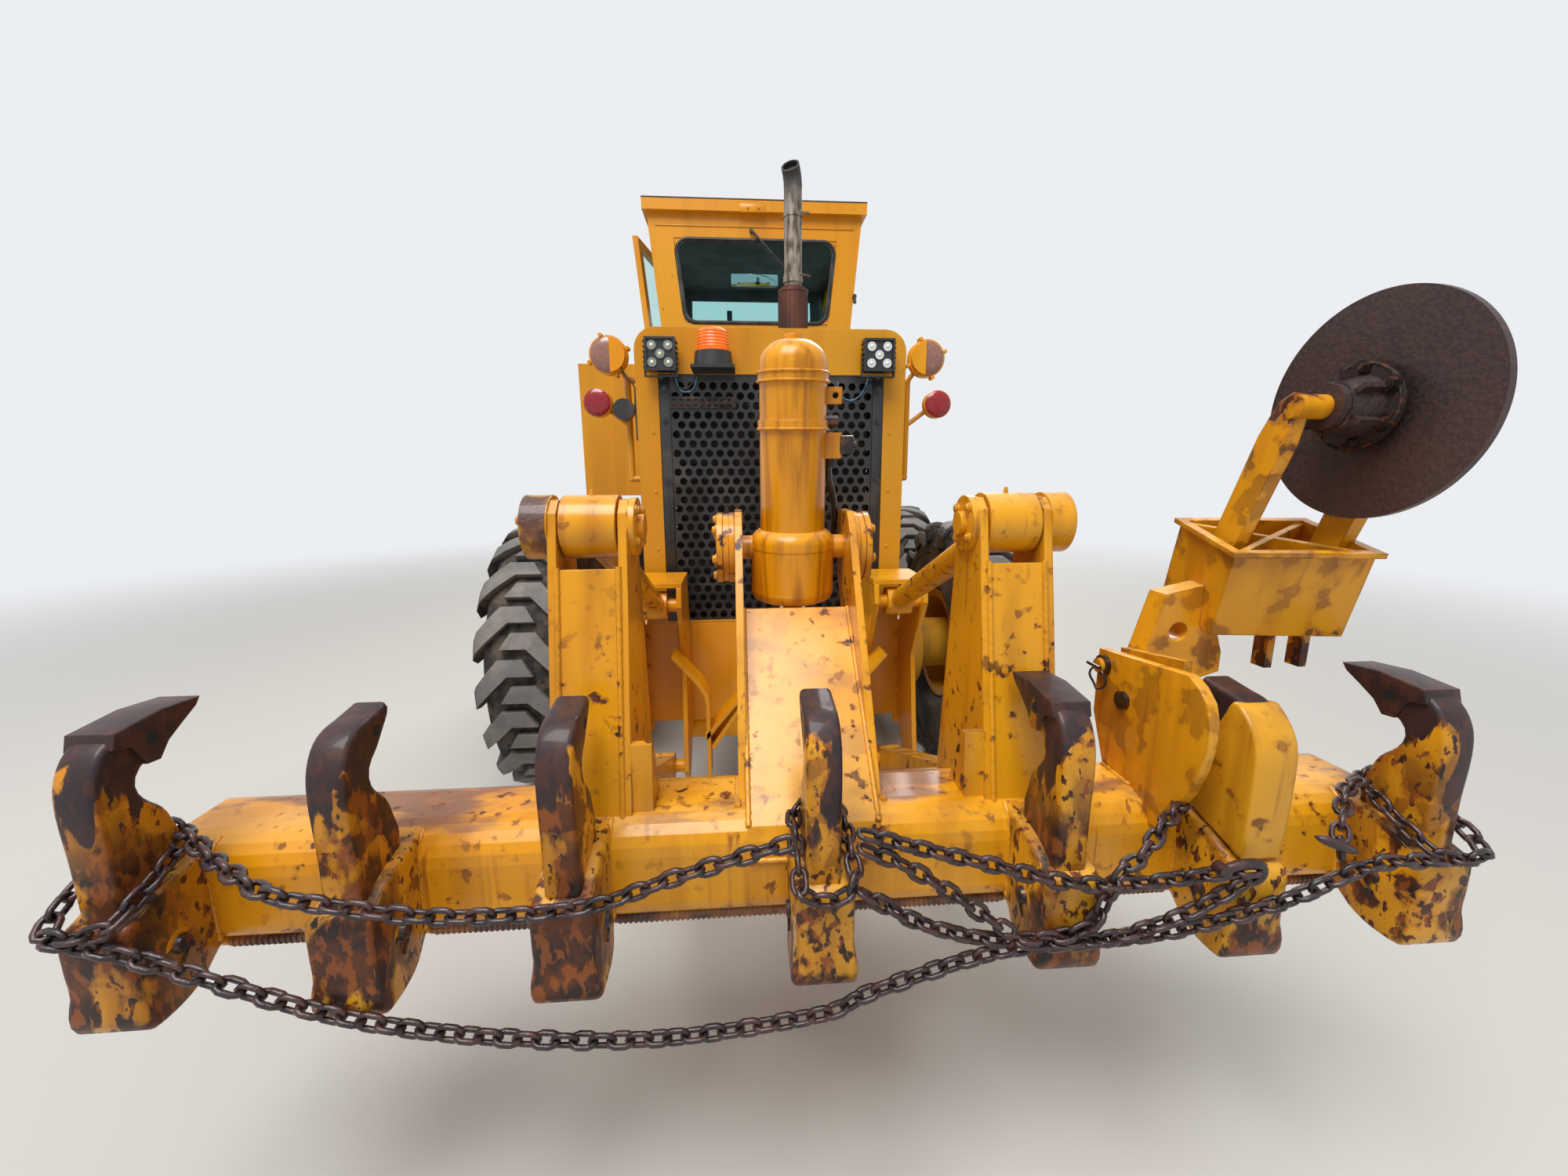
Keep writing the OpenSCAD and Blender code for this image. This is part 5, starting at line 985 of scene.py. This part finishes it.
finished("worn_mast_cap", worn_cap, rebar_rust, "ripper")


# Ripper shanks
# Forged bars whose paint is going, with dark polished noses; three have cast points pinned on, and
# one wears a broad guard. Cast holders grip them, rounded and flared at the heel.
shank_paint = painted_steel("shank_enamel_worn", chipped=0.95, chip_mm=40, edge_wear=1.0, wet=0.75,
                            worn=0.45, colours=("#c9820f", "#d8961c", "#7e4212"), lumpy=1.0,
                            bare_above=1.2, stained=0.9, runs=0.7, heavy=("Z", 1.24, 1.08))
guard_paint = painted_steel("guard_enamel_scraped", chipped=0.5, chip_mm=30, edge_wear=0.6, wet=0.8,
                            lumpy=0.9, stained=0.9, runs=0.6, colours=("#cf8a10", "#d89a1e", "#9a5c10"))
holder_paint = painted_steel("holder_enamel_rusted", chipped=0.7, chip_mm=34, edge_wear=0.9, wet=0.7,
                             worn=0.2, lumpy=1.0, stained=0.9, runs=0.7, heavy=("Y", -5.05, -5.21),
                             colours=("#cf8a10", "#d89a1e", "#8e4e12"))
HEEL_Y = -5.2412
SHANK_HALF = 0.034
POINTED = (-1.3, 0.497, 1.3)
GUARDED = 0.89
SHANK_REAR = [(17.5, -243), (22, -150), (25, -60), (27, 60), (25.5, 130), (26, 172), (31, 210), (43, 240),
              (62, 264), (88, 278)]
SHANK_NOSE = [(125, 283), (160, 288), (186, 292), (191, 284), (186, 266), (163, 240), (138, 213)]
SHANK_FRONT = [(116, 196), (107, 178), (109, 158), (120, 138), (138, 118), (151, 98), (163, 60), (173, 24),
               (170, 2), (170, -120), (170, -243)]
POINT_CAP = [(70, 258), (78, 287), (170, 298), (252, 292), (240, 276), (205, 254), (172, 232), (150, 204),
             (126, 206), (104, 250)]
GUARD = [(16, -38), (12, 20), (10, 80), (10, 139), (12, 180), (20, 214), (36, 240), (58, 262), (76, 275),
         (92, 268), (104, 240), (116, 214), (128, 190), (140, 160), (150, 128), (160, 96),
         (167, 60), (167, 8), (119, -12)]
HOLDER = [(220, -5), (100, -19), (38, -46), (5, -59), (0, -120), (1, -180), (-3, -205), (-4, -232),
          (2, -252), (14, -265), (34, -270), (74, -270), (112, -259), (172, -230), (220, -218)]


def curve_through(points, count):
    """Evenly spaced places on a smooth line through some points."""
    points = [Vector(p) for p in points]
    ends = [points[0] * 2 - points[1]] + points + [points[-1] * 2 - points[-2]]
    dense = []
    for i in range(1, len(ends) - 2):
        a, b, c, d = ends[i - 1 : i + 3]
        for k in range(24):
            t = k / 24
            dense.append(0.5 * (2 * b + (c - a) * t + (2 * a - 5 * b + 4 * c - d) * t * t
                                + (3 * b - a - 3 * c + d) * t * t * t))
    dense.append(points[-1])
    lengths = [0.0]
    for start, end in zip(dense, dense[1:]):
        lengths.append(lengths[-1] + (end - start).length)
    places = []
    for k in range(count):
        wanted = lengths[-1] * k / (count - 1)
        i = max(1, next((n for n, run in enumerate(lengths) if run >= wanted), len(lengths) - 1))
        share = (wanted - lengths[i - 1]) / max(lengths[i] - lengths[i - 1], 1e-9)
        places.append(dense[i - 1].lerp(dense[i], min(share, 1.0)))
    return places


def at_heel(pairs):
    """Places on the ripper's section, from millimetres behind the heel and above the beam."""
    return [(HEEL_Y + y * MM, BEAM_TOP + z * MM) for y, z in pairs]


def thick_plate(shape, outline, low, high, rounding):
    """A plate cut to an outline and standing across the machine, with its edges rounded over."""
    rim = [shape.verts.new((low, y, z)) for y, z in outline]
    lid = shape.faces.new(rim)
    made = bmesh.ops.extrude_face_region(shape, geom=[lid])["geom"]
    moved = [part for part in made if isinstance(part, bmesh.types.BMVert)]
    bmesh.ops.translate(shape, verts=moved, vec=(high - low, 0, 0))
    sides = (set(rim), set(moved))
    edges = [edge for edge in {e for vert in rim + moved for e in vert.link_edges}
             if any(set(edge.verts) <= side for side in sides)]
    bmesh.ops.bevel(shape, geom=edges, offset=rounding, segments=3, affect="EDGES", profile=0.5,
                    material=-1, clamp_overlap=False)


def rounded_line(pairs, count):
    """An outline drawn smoothly through its points."""
    return [(p.y, p.z) for p in curve_through([(0, y, z) for y, z in pairs], count)]


shanks = bmesh.new()
points = bmesh.new()
guards = bmesh.new()
holders = bmesh.new()
holes = bmesh.new()
shank_line = rounded_line(at_heel(SHANK_REAR + SHANK_NOSE + SHANK_FRONT[:-2]), 64)
shank_line += at_heel(SHANK_FRONT[-2:])
holder_line = rounded_line(at_heel(HOLDER[:-1]), 34) + at_heel(HOLDER[-1:])
for x in SHANK_X:
    thick_plate(shanks, shank_line, x - SHANK_HALF, x + SHANK_HALF, 0.011)
    if x in POINTED:
        thick_plate(points, at_heel(POINT_CAP), x - SHANK_HALF - 0.007, x + SHANK_HALF + 0.007, 0.003)
    if x == GUARDED:
        thick_plate(guards, rounded_line(at_heel(GUARD), 44), x - 0.045, x + 0.045, 0.007)
    half = SHANK_HALF + (0.0073 if x in POINTED else 0.0003)
    # A near-black bar through each nose hole, painted shade in the hole
    (hole_y, hole_z), = at_heel([(140, 252)])
    bar(holes, (x - half, hole_y, hole_z), (x + half, hole_y, hole_z), 0.012, 20)
    first = len(holders.verts)
    thick_plate(holders, holder_line, x - HOLDER_HALF - 0.0035, x + HOLDER_HALF + 0.0035, 0.012)
    holders.verts.ensure_lookup_table()
    for vert in holders.verts[first:]:
        # The heel flares out below the pin
        flare = min(1.0, max(0.0, (0.885 - vert.co.z) / 0.07))
        near = min(1.0, max(0.0, (-5.075 - vert.co.y) / 0.05))
        tuck = min(1.0, max(0.0, (0.79 - vert.co.z) / 0.014))
        spread = 0.145 * flare * flare * (3 - 2 * flare) - 0.05 * tuck
        vert.co.x = x + (vert.co.x - x) * (1 + spread * near)
shank_piece = finished("worn_shanks", shanks, shank_paint, "ripper", 50)
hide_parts("ripper_shanks")
finished("shank_points", points, shank_paint, "ripper")
finished("shank_guard", guards, guard_paint, "ripper", 50)
finished("shank_nose_hole_shadows", holes, hole_shadow_black, "ripper")
finished("shank_holders", holders, holder_paint, "ripper", 50)


# Ripper cylinder
# A broad painted barrel hung from a collar, fed through a small rusty valve block.
cylinder_paint = painted_steel("cylinder_enamel_streaked", chipped=0.08, chip_mm=18, edge_wear=0.2,
                               runs=0.95, run_mm=15, wet=0.7, stained=1.0, lumpy=0.6)
finish_nodes(cylinder_paint, "ripper_barrel")
cylinder_line = Matrix.Translation(TRUNNION) @ Matrix.Rotation(math.atan2(0.06, 0.95), 4, "X")
fittings = bmesh.new()
block(fittings, (0.128, -0.032, 0.262), (0.166, 0.032, 0.312), bevel=0.004)
for y, z in ((-0.016, 0.287), (0.016, 0.287)):
    bolt(fittings, (0.166, y, z), (1, 0, 0), 0.018, False)
bar(fittings, (0.1, 0.005, 0.25), (0.1, 0.005, 0.226), 0.017, 6)
bar(fittings, (0.125, 0.035, 0.285), (0.125, 0.06, 0.285), 0.014, 6)
bar(fittings, (0.09, 0.0, 0.35), (0.125, 0.0, 0.35), 0.016, 6)
bmesh.ops.transform(fittings, matrix=cylinder_line, verts=fittings.verts)
finished("cylinder_fittings", fittings, dark_steel, "ripper_barrel")
cylinder_seams = bmesh.new()
# Domed head over the end of the barrel
dome_line = [(0.0, 0.472), (0.093, 0.472), (0.093, 0.492), (0.0915, 0.505), (0.087, 0.519), (0.079, 0.532),
             (0.066, 0.5445), (0.0495, 0.5548), (0.03, 0.5585), (0.0, 0.5595)]
# Rounded shoulder and foot of the trunnion collar
shoulder = [(0.08, 0.0), (0.1197, 0.0), (0.1197, 0.022), (0.117, 0.032), (0.107, 0.044),
            (0.094, 0.053), (0.08, 0.054)]
foot = [(0.07, -0.12), (0.1197, -0.12), (0.1185, -0.134), (0.112, -0.146), (0.1, -0.152), (0.07, -0.152)]
for outline in (dome_line, shoulder + shoulder[:1], foot + foot[:1]):
    spun(cylinder_seams, outline, (0, 0, 0), (0, 0, 1), 48)
for z, r in ((0.329, 0.0975), (0.4515, 0.0975), (0.4745, 0.0975), (0.0205, 0.095)):
    seam = round_places((0, 0, z), r, 30, axis=2)
    weld(cylinder_seams, seam + seam[:1], 0.0035)
bmesh.ops.transform(cylinder_seams, matrix=cylinder_line, verts=cylinder_seams.verts)
finished("cylinder_seams", cylinder_seams, cylinder_paint, "ripper_barrel", 50)


# Hoses and lamp wires
# Black rubber hydraulic hose between fittings, and thin plastic wires that sag below the lamps.
HOSE_STEPS = 28


def hose(name, points, diameter, material, body):
    """A hose or wire along a smooth line."""
    places = curve_through(points, HOSE_STEPS)
    data = bpy.data.curves.new(name, "CURVE")
    data.dimensions = "3D"
    data.bevel_depth = diameter / 2
    data.bevel_resolution = 3
    spline = data.splines.new("POLY")
    spline.points.add(len(places) - 1)
    for point, place in zip(spline.points, places):
        point.co = (*place, 1.0)
    data.materials.append(material)
    piece = bpy.data.objects.new(name, data)
    bpy.context.collection.objects.link(piece)
    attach(piece, body)


hose_rubber = finish("oily_hose_rubber", ("#141414", "#3a2e27"), (25, 0.5, 0.7), 0.4, 2, 0.3,
                     coat_weight=0.3)
feed = [(0.1, 0.005, 0.232), (0.106, 0.016, 0.19), (0.121, 0.034, 0.14), (0.13, 0.056, 0.08),
        (0.128, 0.078, 0.02), (0.112, 0.096, -0.04), (0.082, 0.1, -0.085)]
hose("feed_hose", [cylinder_line @ Vector(p) for p in feed], 0.02, hose_rubber, "ripper_barrel")
blue_wire = finish("blue_plastic_wire", ("#5d9fc4", "#3c6f92"), (20, 0.4, 0.6), 0.45, 2, 0.1)
black_wire = finish("black_plastic_wire", ("#151515", "#333130"), (20, 0.4, 0.6), 0.5, 2, 0.1)
# Name, diameter, material and route of each wire on the hood
WIRES = [
    ("left_lamp_wire", 0.006, black_wire, [
        (-0.425, -3.612, 2.2), (-0.42, -3.603, 2.165), (-0.4, -3.6, 2.135), (-0.365, -3.6, 2.13),
        (-0.335, -3.602, 2.155), (-0.318, -3.608, 2.195)]),
    ("beacon_wire", 0.005, blue_wire, [
        (-0.412, -3.612, 2.2), (-0.405, -3.603, 2.16), (-0.385, -3.598, 2.12), (-0.35, -3.595, 2.118),
        (-0.33, -3.59, 2.14), (-0.322, -3.582, 2.17), (-0.32, -3.573, 2.182)]),
    ("lamp_loom", 0.022, black_wire, [
        (-0.594, -3.45, 2.15), (-0.594, -3.455, 2.08), (-0.594, -3.45, 2.0), (-0.594, -3.45, 1.925)]),
    ("amber_lamp_wire", 0.006, black_wire, [
        (-0.655, -3.46, 2.24), (-0.64, -3.455, 2.2), (-0.612, -3.45, 2.17), (-0.596, -3.45, 2.14)]),
    ("right_lamp_wire", 0.005, blue_wire, [
        (0.41, -3.612, 2.2), (0.4, -3.603, 2.15), (0.375, -3.598, 2.105), (0.34, -3.596, 2.085),
        (0.305, -3.592, 2.095), (0.285, -3.583, 2.13), (0.282, -3.573, 2.165)]),
]
for wire_name, diameter, material, route in WIRES:
    hose(wire_name, route, diameter, material, "rear_frame")


# Cutter arm
# A welded box on a bracket and leg, its paint broken by large rust patches.
finish_nodes(bracket_paint, "cutter_arm")
CHEEK = [(-4.827, 1.168), (-4.827, 1.336), (-5.129, 1.3675), (-5.158, 1.353), (-5.185, 1.328),
         (-5.199, 1.29), (-5.2, 1.235), (-5.19, 1.185), (-5.172, 1.13), (-5.14, 1.07), (-5.1, 1.0),
         (-5.06, 0.99), (-5.02, 1.043), (-4.886, 1.045)]
cheek = bmesh.new()
thick_plate(cheek, CHEEK, 0.7635, 0.7865, 0.002)
finished("bracket_cheek", cheek, bracket_paint, "ripper")
arm_welds = bmesh.new()
for x in (0.765, 0.785, 0.822, 0.842):
    weld(arm_welds, [(x, -4.996, BEAM_TOP), (x, BEAM_FRONT - 0.045, BEAM_TOP)])
finished("cutter_arm_welds", arm_welds, bracket_paint, "ripper", 60)
arm_pins = bmesh.new()
for x in (0.7645, 0.8425):
    way = -1 if x < 0.8 else 1
    for y, z, r in ((-4.8562, 1.3, 0.026), (-4.9412, 1.239, 0.022)):
        bar(arm_pins, (x, y, z), (x + way * 0.012, y, z), r, 24)
# Ring clip hanging in the upper pin, and a lynch pin below it
ring = [(0.748 + 0.004 * math.sin(k), -4.8562 + 0.03 * math.sin(2 * math.pi * k / 20),
         1.268 + 0.03 * math.cos(2 * math.pi * k / 20)) for k in range(20)]
swept(arm_pins, ring, 0.003, 6, closed=True)
bar(arm_pins, (0.735, -4.88, 1.3), (0.735, -4.83, 1.3), 0.005, 10)
finished("bracket_pins", arm_pins, dark_steel, "ripper")


# Cutter disc
# A plain wheel of plate, rusted dark brown, on a cast hub with ribs and bolts.
disc_steel, tree, where = new_material("dark_rusted_plate")
polish = patches(tree, where, 160, 0.4, 0.66, 5.0)
fine = patches(tree, where, 5, 0.35, 0.65, 6.0)
plate = laid_over(tree, linear("#2c2224"), linear("#43302d"), polish)
plate = laid_over(tree, plate, linear("#5e4037"), fine, 0.35)
surface(disc_steel, tree, plate, 0.5, fine, 0.8, metallic=0.25, coat_weight=0.2, coat_roughness=0.2)
finish_nodes(disc_steel, "cutter_disc")
DISC = Vector((1.22, -4.9862, 1.915))
hub_trim = bmesh.new()
for out, way, r, head in ((-0.034, -1, 0.078, 0.024), (0.0225, 1, 0.06, 0.02)):
    for place in round_places(DISC + Vector((out, 0, 0)), r, 6, start=math.pi / 6):
        bolt(hub_trim, place, (way, 0, 0), head)
for x, r in ((-0.094, 0.0515), (-0.035, 0.0905)):
    seam = round_places(DISC + Vector((x, 0, 0)), r, 40)
    weld(hub_trim, seam + seam[:1], 0.003)
bar(hub_trim, (DISC.x + 0.062, DISC.y, DISC.z), (DISC.x + 0.072, DISC.y, DISC.z), 0.034, 24, 0.03)
finished("hub_bolts", hub_trim, dark_steel, "cutter_disc")


# Chains
# Welded round-link chain in wet brown rust, looped over the shanks and hooked at the right.
chain_steel, tree, where = new_material("wet_rusted_chain")
chain_rust = laid_over(tree, linear("#25181a"), linear("#432a28"), patches(tree, where, 22, 0.4, 0.62))
chain_rust = laid_over(tree, chain_rust, linear("#633c31"), patches(tree, where, 5, 0.55, 0.7), 0.5)
surface(chain_steel, tree, chain_rust, 0.38, patches(tree, where, 3, 0.3, 0.7, 6.0), 0.8, metallic=0.2,
        coat_weight=0.3, coat_roughness=0.18)
CHAIN_Y = -5.2585
WIRE_R = 0.0056
LINK_LONG = 0.0572
LINK_WIDE = 0.037
LINK_PITCH = 0.0348
# Runs of the chain: across, ahead of the chain's plane, up, in millimetres
RUNS = [
    [(-1250, 165, 1090), (-1212, 138, 1102), (-1152, 98, 1086), (-1072, 48, 1083), (-985, 5, 1068),
     (-900, 0, 1045), (-700, 0, 1006), (-450, 0, 1008), (-280, 0, 1060), (-66, 0, 1120)],
    [(-1340, 0, 1000), (-1250, 0, 975), (-1140, 0, 925), (-885, 0, 810), (-615, 0, 742), (-310, 0, 715),
     (0, 0, 745), (70, 0, 780), (350, 0, 862), (670, 0, 878), (925, 0, 935), (1100, 0, 1005),
     (1250, 0, 1005)],
    [(-1244, 168, 1085), (-1242, 60, 1036), (-1260, 0, 1008), (-1345, 0, 1005), (-1364, 60, 1036),
     (-1358, 165, 1080), (-1300, 200, 1092), (-1244, 168, 1085)],
    [(-52, 0, 1015), (-52, 62, 1058), (-48, 165, 1078), (0, 200, 1084), (48, 165, 1078), (52, 62, 1058),
     (52, 0, 1018), (0, 0, 990), (-52, 0, 1015)],
    [(1244, 168, 1088), (1242, 60, 1036), (1260, 0, 1008), (1345, 0, 1010), (1364, 60, 1040),
     (1358, 165, 1082), (1300, 200, 1094), (1244, 168, 1088)],
    [(1236, 165, 1095), (1150, 118, 1096), (1106, 78, 1080), (1062, 38, 1046), (1040, 10, 1020)],
    [(60, 0, 1130), (290, 0, 1058), (526, 0, 995), (850, 0, 1010)],
    [(60, 0, 1100), (168, 0, 1045), (362, 0, 898)],
    [(60, 0, 1010), (188, 0, 930), (346, 0, 884), (540, 0, 870), (700, 0, 912), (835, 0, 985)],
    [(815, 190, 1072), (770, 110, 1086), (707, 68, 1081), (657, 33, 1064), (618, 13, 1038), (576, 4, 1021),
     (547, 0, 969), (527, 0, 912), (460, 0, 884), (380, 0, 886)],
]
one_link = bmesh.new()
bow = (LINK_WIDE - 2 * WIRE_R) / 2
straight = (LINK_LONG - LINK_WIDE) / 2
link_path = []
for end in (-1, 1):
    for k in range(5):
        turn = math.pi * k / 4 - math.pi / 2
        link_path.append((end * bow * math.sin(turn), 0, end * (straight + bow * math.cos(turn))))
swept(one_link, link_path, WIRE_R, 6, closed=True)
link_data = bpy.data.meshes.new("one_link")
one_link.to_mesh(link_data)
one_link.free()
chain_shape = bmesh.new()
placed = 0
for run in RUNS:
    line = [Vector((x * MM, CHAIN_Y + y * MM, z * MM)) for x, y, z in run]
    long = sum((b - a).length for a, b in zip(line, line[1:]))
    links = max(1, round(long / LINK_PITCH))
    joints = [Vector((p.x, max(p.y, CHAIN_Y), p.z)) for p in curve_through(line, links + 1)]
    for k, (a, b) in enumerate(zip(joints, joints[1:])):
        along = b - a
        roll = (math.pi / 2 if k % 2 else 0.0) + 0.16 * math.sin(placed * 12.9)
        place = (Matrix.Translation((a + b) / 2) @ along.to_track_quat("Z", "Y").to_matrix().to_4x4()
                 @ Matrix.Rotation(roll, 4, "Z"))
        before = len(chain_shape.verts)
        chain_shape.from_mesh(link_data)
        chain_shape.verts.ensure_lookup_table()
        bmesh.ops.transform(chain_shape, matrix=place, verts=chain_shape.verts[before:])
        placed += 1
bpy.data.meshes.remove(link_data)
chain_piece = finished("ripper_chains", chain_shape, chain_steel, "ripper", 80)
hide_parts("chains")

# Forged grab hook that shortens the upper right run, and a slip hook by the last shank
hook = bmesh.new()
HOOK = Vector((0.843, CHAIN_Y - 0.001, 1.002))
path = [HOOK + Vector((-0.062, 0, 0.012)), HOOK + Vector((-0.03, 0, 0.02))]
for k in range(9):
    turn = math.radians(75 - 25 * k)
    path.append(HOOK + Vector((0.021 * math.cos(turn), 0, 0.021 * math.sin(turn))))
places = curve_through(path, 26)
swept(hook, places, [0.0085 + 0.0035 * math.sin(math.pi * k / 25) - 0.003 * k / 25 for k in range(26)], 10)
bar(hook, HOOK + Vector((-0.066, -0.012, 0.012)), HOOK + Vector((-0.066, 0.012, 0.012)), 0.013)
places = curve_through([(0.985, CHAIN_Y + 0.018, 1.062), (1.02, CHAIN_Y + 0.008, 1.05),
                        (1.062, CHAIN_Y + 0.004, 1.034)], 12)
swept(hook, places, [0.003, 0.008, 0.011, 0.0125, 0.013, 0.0132, 0.013, 0.0125, 0.012, 0.011,
                     0.009, 0.006], 10, flat=0.8)
finished("chain_hooks", hook, chain_steel, "ripper", 60)
